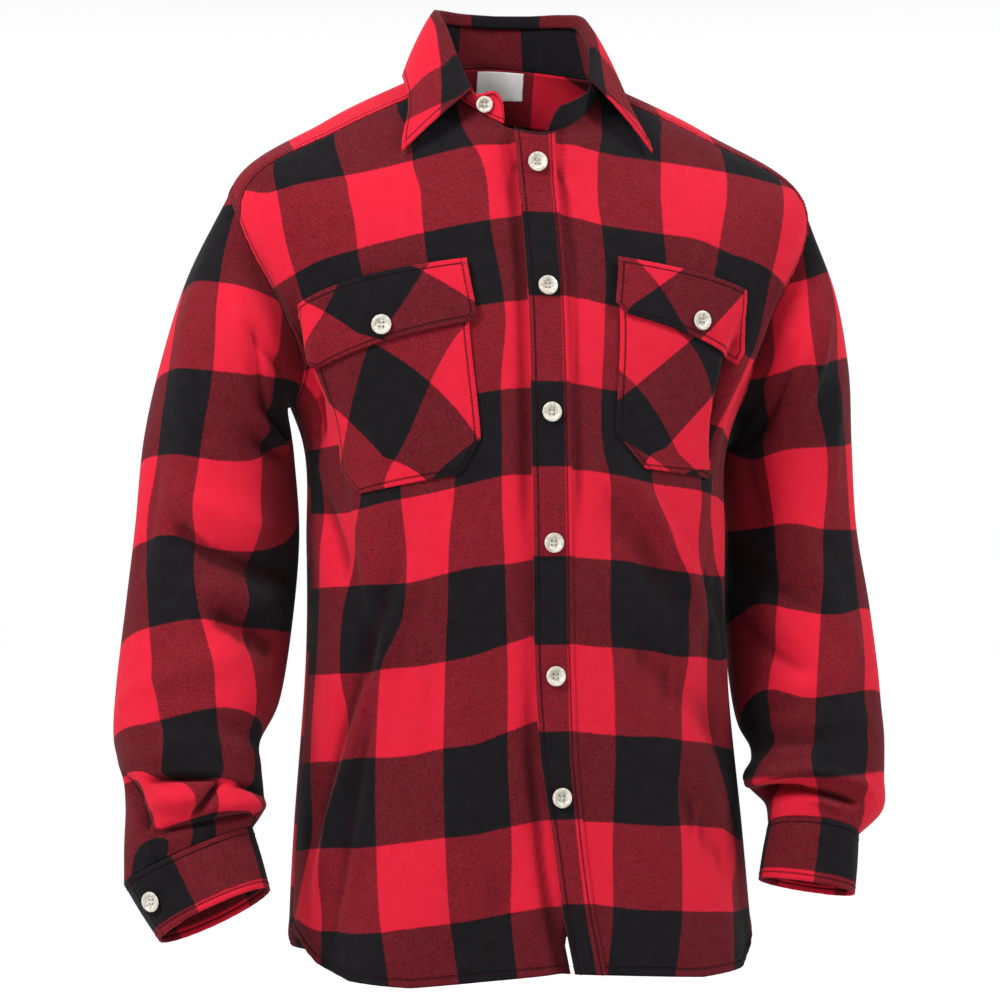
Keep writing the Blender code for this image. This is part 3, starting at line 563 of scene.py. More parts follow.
# Where the checks lie on each panel, in hundredths.  A table counts the stripes across and one
# the stripes down: odd to even is red, even to odd is black.
checkTables = {
    "frontRight": ((
        (30, 99, 167, 229, 280, 315, 342, 380, 434, 502),
        (34, 93, 156, 215, 267, 303, 323, 360, 458, 540),
        (37, 97, 153, 208, 256, 296, 319, 356, 487, 562),
        (38, 92, 147, 202, 250, 288, 328, 415, 480, 529),
        (37, 93, 146, 202, 261, 294, 324, 390, 473, 536),
        (31, 91, 147, 209, 284, 326, 350, 392, 478, 547),
        (23, 89, 151, 214, 286, 338, 380, 418, 482, 537),
        (17, 85, 162, 225, 278, 336, 398, 439, 483, 526),
        (21, 91, 167, 232, 284, 340, 396, 446, 488, 528),
        (32, 99, 171, 236, 291, 342, 391, 443, 497, 539),
        (45, 114, 179, 241, 296, 343, 385, 435, 490, 539),
        (44, 112, 179, 244, 299, 346, 389, 432, 477, 518),
        (36, 101, 171, 237, 294, 336, 378, 418, 449, 477),
        (28, 85, 144, 201, 250, 291, 318, 352, 385, 412),
        (24, 67, 111, 151, 186, 228, 251, 268, 297, 333),
        (24, 51, 78, 100, 123, 157, 183, 198, 221, 250),
        (25, 34, 41, 46, 52, 72, 101, 126, 147, 168),
    ), (
        (983, 993, 988, 979, 971, 963, 956, 946, 931, 918),
        (910, 906, 899, 895, 891, 884, 880, 875, 866, 853),
        (830, 826, 818, 814, 809, 803, 799, 797, 792, 779),
        (742, 731, 718, 713, 705, 702, 701, 696, 693, 687),
        (650, 636, 620, 612, 606, 603, 598, 596, 593, 591),
        (563, 551, 543, 535, 526, 524, 523, 521, 519, 514),
        (485, 479, 476, 467, 459, 454, 450, 446, 444, 443),
        (420, 419, 410, 400, 392, 385, 375, 368, 366, 366),
        (357, 356, 347, 335, 323, 312, 301, 292, 287, 282),
        (294, 290, 282, 268, 253, 240, 228, 217, 208, 198),
        (232, 226, 216, 201, 185, 170, 157, 144, 131, 120),
        (180, 170, 157, 139, 121, 107, 90, 72, 60, 53),
        (138, 124, 107, 88, 71, 51, 29, 7, 2, -1),
        (102, 87, 71, 53, 33, 11, -9, -25, -34, -40),
        (68, 54, 40, 26, 8, -11, -28, -40, -53, -68),
        (35, 23, 11, 2, -13, -31, -44, -58, -74, -91),
        (4, -6, -16, -26, -41, -58, -68, -80, -95, -111),
    )),
    "frontLeft": ((
        (50, 104, 155, 206, 254, 292, 310, 309, 297, 283),
        (48, 92, 140, 190, 238, 279, 301, 304, 304, 307),
        (49, 89, 130, 176, 225, 264, 290, 300, 314, 334),
        (52, 85, 118, 163, 208, 246, 282, 309, 337, 369),
        (53, 85, 113, 141, 177, 229, 297, 327, 369, 409),
        (48, 86, 115, 135, 161, 263, 324, 372, 411, 450),
        (37, 80, 122, 168, 230, 306, 373, 416, 449, 485),
        (27, 74, 134, 205, 250, 289, 393, 431, 473, 514),
        (26, 90, 151, 215, 271, 328, 396, 442, 486, 533),
        (28, 98, 166, 232, 294, 347, 392, 438, 488, 541),
        (31, 102, 176, 249, 314, 359, 388, 431, 483, 535),
        (36, 107, 180, 259, 324, 369, 402, 433, 472, 510),
        (37, 109, 183, 255, 309, 350, 389, 421, 445, 466),
        (34, 93, 155, 209, 255, 291, 319, 352, 379, 399),
        (28, 69, 113, 153, 189, 221, 243, 257, 283, 314),
        (23, 50, 78, 103, 126, 151, 170, 182, 198, 222),
        (18, 30, 42, 53, 65, 78, 90, 103, 116, 129),
    ), (
        (1006, 995, 988, 983, 980, 976, 971, 965, 955, 943),
        (920, 911, 905, 903, 900, 896, 891, 883, 871, 858),
        (832, 830, 825, 821, 820, 815, 810, 798, 785, 774),
        (731, 727, 723, 721, 716, 712, 710, 704, 697, 691),
        (634, 628, 625, 621, 614, 613, 610, 605, 609, 611),
        (555, 550, 548, 542, 535, 532, 531, 529, 530, 532),
        (488, 485, 482, 474, 469, 465, 463, 461, 458, 453),
        (427, 424, 416, 409, 405, 401, 396, 392, 384, 373),
        (364, 359, 351, 342, 334, 327, 320, 313, 303, 291),
        (300, 292, 284, 272, 261, 250, 240, 231, 220, 210),
        (238, 227, 217, 203, 189, 176, 163, 152, 142, 134),
        (182, 169, 157, 143, 124, 111, 97, 82, 72, 66),
        (136, 119, 107, 95, 75, 61, 45, 26, 16, 10),
        (99, 81, 68, 55, 40, 26, 11, -6, -20, -31),
        (62, 49, 36, 23, 11, -1, -14, -29, -45, -61),
        (26, 18, 10, -2, -13, -24, -36, -50, -66, -85),
        (-9, -12, -15, -24, -34, -45, -56, -72, -89, -108),
    )),
    "sleeveRight": ((
        (202, 129, 55, -20, -92, -149, -191, -221, -234, -251, -272),
        (201, 137, 75, 16, -43, -101, -150, -189, -224, -262, -299),
        (201, 144, 90, 43, 0, -63, -134, -186, -230, -276, -322),
        (204, 151, 99, 52, 16, -53, -135, -191, -242, -292, -340),
        (208, 158, 107, 51, -1, -61, -142, -201, -256, -305, -353),
        (209, 163, 118, 73, 30, -37, -120, -210, -261, -308, -360),
        (206, 166, 127, 89, 49, -3, -64, -165, -234, -299, -363),
        (200, 165, 131, 95, 57, 14, -37, -111, -196, -281, -363),
        (190, 160, 129, 96, 59, 18, -36, -106, -184, -270, -358),
        (177, 149, 121, 91, 56, 14, -41, -107, -183, -266, -352),
        (160, 135, 110, 84, 52, 9, -38, -106, -190, -268, -344),
        (141, 118, 95, 74, 54, 34, -5, -121, -204, -269, -332),
        (121, 100, 80, 64, 55, 56, 20, -128, -202, -259, -315),
        (100, 85, 70, 58, 55, 59, 13, -120, -186, -241, -298),
        (100, 85, 70, 60, 70, 150, 45, -103, -170, -224, -280),
        (100, 85, 70, 60, 80, 170, 50, -87, -153, -210, -265),
    ), (
        (-15, 12, 39, 69, 103, 145, 193, 241, 288, 327, 365),
        (90, 116, 143, 169, 191, 214, 252, 284, 322, 363, 406),
        (194, 220, 245, 267, 286, 301, 316, 336, 366, 406, 449),
        (296, 322, 346, 366, 380, 387, 388, 396, 423, 458, 496),
        (399, 422, 444, 466, 484, 492, 477, 477, 496, 521, 547),
        (501, 518, 536, 554, 567, 575, 580, 576, 581, 590, 600),
        (603, 610, 619, 631, 640, 648, 660, 666, 662, 655, 648),
        (702, 697, 693, 694, 699, 700, 708, 719, 718, 704, 689),
        (792, 781, 764, 740, 719, 718, 732, 745, 745, 734, 719),
        (850, 820, 785, 755, 730, 734, 753, 764, 762, 750, 736),
        (940, 960, 970, 970, 940, 785, 787, 786, 774, 760, 746),
        (976, 980, 985, 985, 975, 866, 818, 808, 788, 769, 756),
        (1010, 1000, 995, 990, 972, 898, 863, 846, 811, 790, 776),
        (1030, 1015, 1000, 985, 954, 904, 898, 901, 885, 843, 812),
        (1079, 1053, 1024, 988, 950, 921, 917, 921, 914, 890, 862),
        (1104, 1061, 1018, 981, 954, 940, 937, 937, 936, 929, 918),
    )),
    "sleeveLeft": ((
        (-11, 64, 142, 224, 316, 413, 489, 530, 515, 513, 519),
        (-9, 60, 128, 195, 257, 313, 378, 458, 499, 534, 564),
        (-7, 56, 117, 174, 223, 268, 378, 461, 507, 554, 600),
        (-10, 49, 107, 166, 229, 305, 418, 472, 522, 575, 628),
        (-14, 44, 103, 165, 235, 308, 395, 470, 534, 592, 648),
        (-18, 41, 101, 165, 230, 295, 371, 465, 533, 568, 597),
        (-19, 41, 102, 164, 227, 293, 353, 439, 514, 562, 595),
        (-15, 44, 104, 164, 224, 283, 346, 420, 494, 556, 594),
        (-9, 49, 107, 165, 222, 281, 340, 406, 479, 550, 593),
        (1, 56, 111, 166, 222, 277, 333, 395, 469, 543, 592),
        (12, 63, 115, 168, 224, 282, 338, 397, 463, 534, 590),
        (24, 73, 121, 171, 223, 280, 337, 400, 460, 523, 588),
        (40, 87, 132, 177, 222, 270, 327, 395, 455, 512, 570),
        (56, 102, 147, 190, 230, 271, 324, 388, 447, 502, 554),
        (72, 118, 163, 208, 251, 292, 340, 395, 445, 491, 537),
        (87, 134, 181, 230, 279, 324, 365, 408, 445, 482, 518),
    ), (
        (75, 82, 90, 104, 128, 169, 221, 267, 301, 315, 324),
        (169, 178, 189, 201, 216, 238, 270, 301, 318, 337, 358),
        (260, 274, 287, 299, 309, 320, 330, 342, 350, 370, 396),
        (348, 365, 382, 395, 402, 402, 406, 410, 401, 421, 445),
        (432, 453, 472, 487, 495, 497, 500, 510, 506, 502, 507),
        (510, 533, 554, 573, 585, 587, 579, 590, 601, 590, 577),
        (579, 603, 626, 646, 659, 660, 652, 659, 672, 660, 640),
        (638, 661, 683, 702, 714, 712, 704, 703, 719, 708, 689),
        (688, 707, 725, 740, 747, 747, 744, 741, 742, 733, 721),
        (730, 745, 757, 767, 771, 771, 770, 767, 762, 755, 747),
        (765, 775, 783, 788, 788, 787, 785, 784, 781, 776, 772),
        (795, 800, 803, 805, 802, 798, 794, 794, 796, 795, 795),
        (819, 821, 821, 820, 814, 807, 802, 800, 802, 808, 815),
        (841, 840, 837, 834, 827, 819, 814, 812, 814, 821, 831),
        (860, 857, 853, 848, 840, 833, 828, 826, 829, 835, 845),
        (879, 874, 868, 862, 854, 847, 843, 841, 843, 850, 859),
    )),
}
checkPlaces = {    # ring and angle of the rows and columns of those tables
    "front": (np.arange(0, 8.5, .5), np.array([0, 9, 18, 27, 36, 45, 54, 64, 75, 92])),
    "sleeve": (np.append(np.arange(7), np.arange(7, 11.5, .5)), np.arange(-100, 201, 30)),
}


def stripes(table, kind, angle, ring):
    # smooth between the rows and columns of a table, straight on past its columns
    rows, columns = checkPlaces[kind]
    last = len(columns) - 1
    column = np.interp(angle, columns, np.arange(last + 1))
    values = spline(np.array(table) / 100, np.interp(ring, rows, np.arange(len(rows))))
    first = np.clip(column.astype(int), 0, last - 1)
    picks = [np.clip(first + step, 0, last)[..., None] for step in (-1, 0, 1, 2)]
    smooth = through(*(np.take_along_axis(values, pick, -1)[..., 0] for pick in picks), column - first)
    low = (values[..., 1] - values[..., 0]) / (columns[1] - columns[0])
    high = (values[..., -1] - values[..., -2]) / (columns[-1] - columns[-2])
    return smooth + low * np.minimum(angle - columns[0], 0) + high * np.maximum(angle - columns[-1], 0)


def checkAt(name, kind, angle, ring):
    # stripes across and down, which are the cloth's own map
    angle, ring = np.broadcast_arrays(angle, ring)
    return np.stack([stripes(table, kind, angle, ring) for table in checkTables[name]], -1)


front = {
    "below": 124, "above": 76, "columns": 100,    # rows below and above the armhole's foot, columns
    "armholeSeam": (.0006, .009), "armholeStitches": .0075, "armholeFrom": .63,
    "riseFrom": .042, "riseOver": .022,           # from the middle of the placket
    "dipBelow": (2.4, 1.2), "dipAbove": (2.8, .8),    # rings where the dips begin and grow over
    # rise of the cloth at the placket, and the dip along its edge: place, width, depth below and above
    "right": {"rise": -.0014, "dipAt": .0205, "wide": .0070, "dipLow": .0045, "dipHigh": .0030},
    "left": {"rise": .0019, "dipAt": .0225, "wide": .0055, "dipLow": 0, "dipHigh": .0035},
    # how the right front's edge runs under the placket: height of no reach, slope, least and most
    "underlap": (-.695, .30, -.0025, .027),
}
placket = {
    "width": .032, "lift": .0038, "stitches": .0042, "seam": (-.0007, .0022, .00030, .009),
    "line": ((0.0, .0240), (0.5, .0150), (1.0, .0085), (1.5, .0020), (2.2, .0000),
             (5.6, .0000), (6.6, -.0015), (8.0, -.0040)),
    "rows": (130, 90), "columns": 17, "top": 7.98,
    "rolledUnder": .0062, "rollFrom": 2.0, "rollOver": 1.1,    # its free edge, towards the hem
    # rings at which the stripes change down it, and where its red stripe begins
    "stripes": (8.9, 7.951, 6.454, 5.298, 4.494, 3.735, 2.905, 2.185, 1.65, 1.175, .583, -.01),
    "red": ((0, .0075), (2, .0106), (8, .0106)),
}


def placketX(ring):
    return read(placket["line"], ring)


def placketNear(ring):
    rolled = ease((placket["rollFrom"] - ring) / placket["rollOver"])
    return -placket["width"] / 2 + placket["rolledUnder"] * rolled


def sideLine(rowsBelow, rowsAbove, corner):
    # side seam and armhole edge of a panel: row numbers, and the angle and ring at each
    at = np.concatenate([np.linspace(0, 11.5, rowsBelow), np.linspace(11.5, 24, rowsAbove)[1:]])
    seam = lookup(body["armhole"], np.interp(at, [12, 24], [180, corner]))
    low = at < 12
    seam[low, 0] = 90
    seam[low, 1] = np.interp(at[low], np.arange(13), np.append(body["sideRings"], body["armholeFoot"]))
    return at, seam


def frontPlaces(side, sign):
    at, outer = sideLine(front["below"], front["above"], 36)
    rings = np.concatenate([body["sideRings"], np.linspace(body["armholeFoot"], body["neckRing"], 8),
                            np.full(5, body["neckRing"])])
    ring = np.interp(at, np.arange(25), rings)
    edge = placketX(ring) + placketNear(ring)
    if side == "right":
        foot, slope, least, most = front["underlap"]
        edge = edge + np.clip((spline(body["rings"], ring)[..., 0] - foot) * slope, least, most)
    angle = angleAt(ring, edge) * sign
    neck = at > 19
    angle[neck] = np.interp(at[neck], np.arange(19, 25), np.append(angle[~neck][-1], body["neckAngles"]))
    share = np.linspace(0, 1, front["columns"]) ** .95
    return blend(angle[:, None], outer[:, :1], share) * sign, blend(ring[:, None], outer[:, 1:], share)


def buildFront(side, sign):
    name, look = sided("front", side), front[side]
    angle, ring = frontPlaces(side, sign)
    out = (bodyForm(angle, ring)[..., 0] - placketX(ring)) * sign
    (below, overBelow), (above, overAbove) = front["dipBelow"], front["dipAbove"]
    dip = (look["dipLow"] * ease((below - ring) / overBelow)
           + look["dipHigh"] * ease((ring - above) / overAbove))
    lift = look["rise"] * np.clip((front["riseFrom"] - out) / front["riseOver"], 0, 1)
    grid = bodyPoint(angle, ring, lift - dip * np.exp(-((out - look["dipAt"]) / look["wide"]) ** 2))
    uv = checkAt(name, "front", angle * sign, ring)
    dressSeam(grid, body["middle"], "foot", *body["hemSeam"])
    dressSeam(grid, body["middle"], "top", *body["underYoke"])
    dressSeam(grid[front["below"]:], body["middle"], "last", *front["armholeSeam"])
    hole = fromEdge(grid, "last") / front["armholeStitches"]
    hole[:front["below"] - 2] = 5
    addCloth(name, grid, uv, body["middle"],
             seam=np.minimum(seamsAt(grid, ["foot"], body["hemStitches"]), hole))
    sew(name, [insetLine(grid, body["middle"], "foot", body["hemStitches"]),
               insetLine(grid, body["middle"], "last", front["armholeStitches"], front["armholeFrom"])])


back = {"above": 56, "columns": 120, "checkLike": ("frontRight", 20)}    # stripes down as there


def buildBack():
    _, outer = sideLine(front["below"], back["above"], 324)
    share = np.linspace(0, 1, back["columns"])
    angle = blend(outer[:, :1], 360 - outer[:, :1], share)
    foot, top = body["armholeFoot"], outer[-1, 1]
    rise = (body["yokeBack"] - top) * np.clip((outer[:, 1:] - foot) / (top - foot), 0, 1)
    ring = outer[:, 1:] + rise * np.sin(np.pi * share) ** body["yokeBow"]
    grid = bodyPoint(angle, ring)
    run = lengthsAcross(grid)
    panel, there = back["checkLike"]
    down = stripes(checkTables[panel][1], "front", ring * 0 + there, ring)
    uv = np.stack([(run - run[:, -1:] / 2) / flannel["stripeWidth"] + .5, down], -1)
    dressSeam(grid, body["middle"], "foot", *body["hemSeam"])
    dressSeam(grid, body["middle"], "top", *body["underYoke"])
    addSewn("back", grid, uv, body["middle"], ["foot"], body["hemStitches"])


yoke = {
    "rows": 40, "columns": (24, 110), "stitches": .0038, "seam": (.0007, .005),
    # stripes across it by their place from right to left, and down it from front to back
    "across": ((-.26, -1.2), (-.192, 0), (-.066, 1), (.035, 2), (.078, 3), (.12, 4),
               (.165, 5), (.24, 6)),
    "down": ((-.06, -.1), (.020, .9), (.030, 1.0), (.055, 2.0), (.125, 2.9)),
}


def yokeEdge():
    # its outer edge from the left front over the shoulder, along the back and to the right front
    armhole = body["armhole"]
    shoulder, behind = yoke["columns"]
    left = np.concatenate([lookup(armhole, np.linspace(36, 0, shoulder)),
                           lookup(armhole, np.linspace(360, 324, shoulder))[1:]])
    share = np.linspace(0, 1, behind)
    corner = lookup(armhole, 324)
    angle = blend(corner[0], 360 - corner[0], share)
    ring = blend(corner[1], body["yokeBack"], np.sin(np.pi * share) ** body["yokeBow"])
    right = left[::-1] * (-1, 1) + (360, 0)
    return np.concatenate([left, np.stack([angle, ring], -1)[1:-1], right])


def buildYoke():
    outer = yokeEdge()
    share = np.linspace(0, 1, yoke["rows"])[:, None]
    start, last = outer[0, 0], body["neckAngles"][-1]
    inner = np.interp(outer[:, 0], (start, 90, 270, 360 - start), (last, 90, 270, 360 - last))
    grid = bodyPoint(blend(inner, outer[None, :, 0], share),
                     blend(body["neckRing"], outer[None, :, 1], share))
    x, y, z = np.moveaxis(grid, -1, 0)
    down = read(yoke["down"], y) - (z - .02) / flannel["stripeHeight"] * ease((y - .04) / .04)
    uv = np.stack([read(yoke["across"], x), down], -1)
    # rows run from the neck to the outer edge, so the front, armhole and back seams are its top
    addSewn("yoke", grid, uv, body["middle"], ("top", "first", "last"), yoke["stitches"], yoke["seam"])


def buildPlacket():
    below, above = placket["rows"]
    at = np.concatenate([np.linspace(0, 12, below), np.linspace(12, 20, above)[1:]])
    rings = np.concatenate([body["sideRings"], np.linspace(body["armholeFoot"], placket["top"], 9)])
    ring = np.interp(at, np.arange(21), rings)[:, None]
    across = blend(placketNear(ring), placket["width"] / 2, np.linspace(0, 1, placket["columns"]))
    angle = angleAt(ring, placketX(ring) + across)
    grid = bodyPoint(angle, ring + angle * 0, placket["lift"])
    down = np.interp(-ring, -np.array(placket["stripes"]), np.arange(-1, 11)) + angle * 0
    uv = np.stack([2 + (across - read(placket["red"], ring)) / flannel["stripeWidth"], down], -1)
    addSewn("placket", grid, uv, body["middle"], ends, placket["stitches"], placket["seam"])


for side, sign in sides:
    buildFront(side, sign)
buildBack()
buildYoke()
buildPlacket()
print("body, yoke and placket made")

sleeve = {
    "columns": 160, "below": 110, "wrist": 80,    # points round it, rows to ring 6 and from there
    "seamAngle": 200,                             # the stripes part at the back of the inner side
    "fadeIn": .8, "fadeOut": .5, "perRing": 40,   # creases fade over so many rings; degrees a ring
    # rings below the armhole: middle x y z, lean outward and forward in degrees,
    # half width across and front to back
    "rings": {
        "right": (
            (.2312, .0120, -.2160, 55, 0, .0684, .0790),
            (.2395, .0180, -.2604, 31, 0, .0612, .0710),
            (.2445, .0240, -.3030, 8, -2, .0620, .0680),
            (.2467, .0200, -.3690, 3, 0, .0670, .0660),
            (.2550, .0080, -.4350, 6, 8, .0680, .0640),
            (.2673, -.0130, -.4980, 8, 14, .0660, .0620),
            (.2788, -.0300, -.5350, 4, 18, .0585, .0600),
            (.2763, -.0400, -.5590, 0, 18, .0550, .0550),
            (.2753, -.0470, -.5820, -4, 18, .0550, .0540),
            (.2768, -.0540, -.6040, -13, 18, .0570, .0470),
            (.2822, -.0600, -.6250, -22, 18, .0550, .0380),
        ),
        "left": (
            (.2350, .0120, -.2155, 55, 0, .0692, .0790),
            (.2420, .0180, -.2605, 32, 0, .0599, .0710),
            (.2410, .0240, -.3030, 8, -2, .0585, .0680),
            (.2450, .0200, -.3690, 3, 0, .0570, .0660),
            (.2475, .0080, -.4350, 3, 8, .0620, .0640),
            (.2480, -.0100, -.4900, 2, 14, .0630, .0620),
            (.2490, -.0230, -.5250, 2, 18, .0610, .0590),
            (.2540, -.0330, -.5500, 2, 18, .0550, .0550),
            (.2455, -.0430, -.5760, -4, 18, .0595, .0540),
            (.2512, -.0520, -.5980, -9, 18, .0500, .0460),
            (.2397, -.0590, -.6170, -13, 18, .0375, .0380),
        ),
    },
    # creases: angle and ring at each end, width in degrees, height
    "creases": {
        "right": (
            (84, .9, 128, .7, 8, -.0050), (60, 1.1, 110, 1.6, 10, .0030),
            (92, .9, 112, 1.9, 7, -.0060), (112, 1.9, 150, 2.5, 7, -.0060),
            (104, 2.75, 140, 3.0, 8, -.0055), (112, 2.3, 150, 2.6, 8, .0040),
            (50, 3.95, 76, 4.30, 7, -.0080), (76, 4.30, 112, 4.52, 7, -.0095),
            (112, 4.52, 150, 4.56, 8, -.0070), (46, 3.55, 130, 4.00, 9, .0060),
            (70, 4.80, 130, 5.05, 8, .0070), (86, 5.15, 112, 5.35, 7, -.0090),
            (112, 5.35, 140, 5.50, 8, -.0080), (100, 5.7, 20, 6.4, 10, .0060),
            (20, 1.0, 60, 3.2, 12, .0030), (30, 3.2, 20, 4.6, 9, -.0034),
            (270, 1.0, 250, 4.0, 16, .0030), (300, 4.5, 240, 6.2, 14, -.0040),
        ),
        "left": (
            (110, .7, 150, 2.4, 10, -.0070), (70, 1.0, 120, 2.6, 9, .0044),
            (150, 2.6, 130, 4.0, 11, -.0060), (60, 2.2, 74, 4.0, 9, .0036),
            (160, 4.2, 104, 5.0, 10, -.0064), (96, 4.2, 70, 5.6, 10, .0048),
            (165, 5.0, 106, 6.2, 10, -.0068), (60, 5.4, 84, 6.9, 9, .0038),
            (270, 1.0, 250, 4.0, 16, .0030), (300, 4.5, 240, 6.2, 14, -.0040),
        ),
    },
    # rolls that the sleeve makes over the cuff
    "rolls": {
        "right": (
            (0, 7.8, 80, 7.9, 13, .0040), (5, 8.25, 32, 9.1, 5, -.0120), (32, 9.1, 44, 9.9, 5, -.0090),
            (44, 8.62, 100, 8.85, 5, -.0100), (48, 9.15, 84, 9.5, 13, .0100),
            (106, 9.0, 88, 9.8, 5, -.0120), (108, 9.75, 156, 9.9, 15, .0075),
            (118, 9.05, 152, 9.25, 6, -.0060), (60, 10.15, 96, 10.35, 6, -.0060),
            (96, 10.35, 150, 10.45, 6, -.0060),
            (60, 7.0, 150, 7.2, 14, -.0040),
            (200, 8.0, 300, 8.2, 14, .0050), (220, 9.2, 330, 9.0, 12, -.0050),
        ),
        "left": (
            (60, 7.6, 120, 7.9, 14, .0030), (182, 9.32, 112, 9.25, 8, .0110),
            (180, 9.80, 136, 9.98, 6, -.0130), (136, 9.98, 76, 10.32, 6, -.0125),
            (112, 9.25, 60, 9.7, 10, .0060), (150, 7.9, 110, 8.3, 10, -.0045),
            (100, 7.0, 180, 7.3, 12, -.0040), (124, 10.35, 90, 10.6, 6, .0050),
            (200, 8.0, 300, 8.2, 14, .0045), (220, 9.2, 330, 9.0, 12, -.0045),
        ),
    },
}
cuff = {
    "overlap": 34, "rows": 22, "columns": 150,
    "lift": .002185, "liftOver": 30,    # of the end on top, lost over so many degrees
    "clear": .0002, "puff": .0006,      # of the sleeve, and between the seams
    "stitches": .0050, "seam": (0, .004, .00022, .010),
    # edge of the cuff as a sleeve ring, angle of its opening, and of its check: the angle where
    # black turns red, degrees in a stripe, share down to the red edge
    "right": {"edge": (.2640, -.0790, -.6700, -23, 22, .0475, .0370), "start": 55,
              "turn": 74, "stripe": 78, "redTo": .86},
    "left": {"edge": (.2291, -.0720, -.6630, -12, 10, .0400, .0390), "start": 345,
             "turn": 463, "stripe": 75, "redTo": .84},
}


def oval(ring, sign, angle):
    # one sleeve ring: 0 outer side, 90 front, 180 next to the body, 270 back
    x, y, z, lean, fore, across, deep = ring
    lean, fore, angle = np.radians(lean), np.radians(fore), np.radians(angle)
    outward = np.array([sign * np.cos(lean), 0, np.sin(lean)])
    down = np.array([sign * np.sin(lean) * np.cos(fore), -np.sin(fore), -np.cos(lean) * np.cos(fore)])
    ahead = np.cross(down, outward) * sign
    if ahead[1] > 0:
        ahead = -ahead
    return (np.array([sign * x, y, z]) + across * np.cos(angle)[:, None] * outward
            + deep * np.sin(angle)[:, None] * ahead)


def buildSleeve(side, sign):
    name = sided("sleeve", side)
    angle = np.linspace(0, 360, sleeve["columns"], endpoint=False)
    at = np.concatenate([np.linspace(0, 6, sleeve["below"]), np.linspace(6, 11, sleeve["wrist"])[1:]])
    hole = lookup(body["armhole"], angle)
    rings = [bodyPoint(hole[:, 0] * sign, hole[:, 1])]
    grid = spline(rings + [oval(ring, sign, angle) for ring in sleeve["rings"][side]], at)
    middle = grid.mean(1, keepdims=True)
    # the same creases met from both ways round the sleeve
    rows = sleeve["creases"][side] + sleeve["rolls"][side]
    height = sum(foldHeight(rows, angle + turn, at[:, None], sleeve["perRing"], .5)
                 for turn in (-360, 0, 360))
    fade = ease(at / sleeve["fadeIn"]) * ease((at[-1] - at) / sleeve["fadeOut"])
    grid = grid + normals(grid, middle, True) * (height * fade[:, None])[..., None]
    seam = int(round(sleeve["seamAngle"] / 360 * len(angle)))
    order = np.roll(np.arange(len(angle)), -seam)
    turned = np.where(angle[order] >= angle[seam], angle[order] - 360, angle[order])
    uv = checkAt(name, "sleeve", np.append(turned, turned[0] + 360), at[:, None])
    addCloth(name, grid[:, order], uv, middle.reshape(-1, 3).mean(0), around=True)


def buildCuff(side, sign):
    look = cuff[side]
    angle = look["start"] + np.linspace(-cuff["overlap"], 360, cuff["columns"])
    lift = cuff["lift"] * (1 - np.clip((angle - look["start"]) / cuff["liftOver"], 0, 1))
    shares = np.linspace(0, 1, cuff["rows"])
    rows = []
    for share in shares:
        ring = blend(np.array(sleeve["rings"][side][-1]), np.array(look["edge"]), share)
        points = oval(ring, sign, angle)
        out = unit(points - (sign * ring[0], ring[1], ring[2]))
        high = lift[:, None] + cuff["clear"] + cuff["puff"] * np.sin(np.pi * share)
        rows.append(points + out * high)
    grid = np.array(rows)
    middle = grid.reshape(-1, 3).mean(0)
    grid[0] += unit(grid[1] - grid[0]) * .0003    # clear of the sleeve's end
    down = 2 + (shares[:, None] - look["redTo"]) * .69
    uv = np.stack(np.broadcast_arrays(2 + (angle - look["turn"]) / look["stripe"], down), -1)
    addSewn(sided("cuff", side), grid, uv, middle, ("foot", "top", "first"), cuff["stitches"],
            cuff["seam"])


for side, sign in sides:
    buildSleeve(side, sign)
    buildCuff(side, sign)
print("sleeves and cuffs made")

collar = {
    "middle": np.array([0, .01, .02]),
    # neck angle, and the place of the line where the collar folds
    "fold": ((35, .0490, -.0580, .0020), (60, .0600, -.0200, .0350), (90, .0630, .0200, .0600),
             (120, .0530, .0520, .0670), (150, .0300, .0720, .0680), (180, .0000, .0790, .0680)),
    # both front ends sit lower than the cut, the one with the button more
    "drop": {"right": np.array([-.003, -.004, -.016]), "left": np.array([-.001, -.002, -.007])},
    "standEnds": (7, 336), "fallEnds": (36, 324), "bareTo": 35,    # neck angles
    "standColumns": (26, 150, 12), "standRows": 16,    # before, under and past the fall, and down
    "standHeight": .78, "roundOver": 6.5,    # of the bare ends, as a share and in degrees
    "buttonEnd": np.array([.001, -.003, .028]),    # how that end of the stand rises
    "fallColumns": 170, "fallRows": (15, 30), "fallOff": .0055, "bulge": .0025,
    # the fall round its fold from inside: out and up from the fold line
    "section": ((-.0032, -.0100), (-.0031, -.0015), (-.0012, .0010), (.0012, .0012),
                (.0032, -.0006)),
    "standStitches": .0030, "fallStitches": .0055, "fallSeam": (0, .004, .0002, .010),
    # free edge of the fall: neck angle, angle and ring on the body
    "edge": {
        "right": ((35, 43.2, 7.02), (60, 61, 7.56), (90, 89, 7.80), (120, 121, 7.80),
                  (150, 151, 7.68), (180, 180, 7.62)),
        "left": ((35, 40.2, 7.17), (60, 59, 7.68), (90, 89, 7.88), (120, 121, 7.86),
                 (150, 151, 7.70), (180, 180, 7.62)),
    },
    # stripes round the fall and the stand: neck angle and count; where red begins down the fall
    "fallStripes": ((30, -1.3), (36, -1), (57, 0), (140, 1), (201, 2), (307, 3), (324, 4.05),
                    (340, 4.9)),
    "fallRed": ((36, .46), (51, .39), (67, .35), (180, .35), (282, .34), (305, .47), (324, .61)),
    "standStripes": ((7, -.6), (72, 0), (105, 1), (158, 2), (210, 3), (262, 4), (300, 4.2),
                     (336, 4.9)),
}


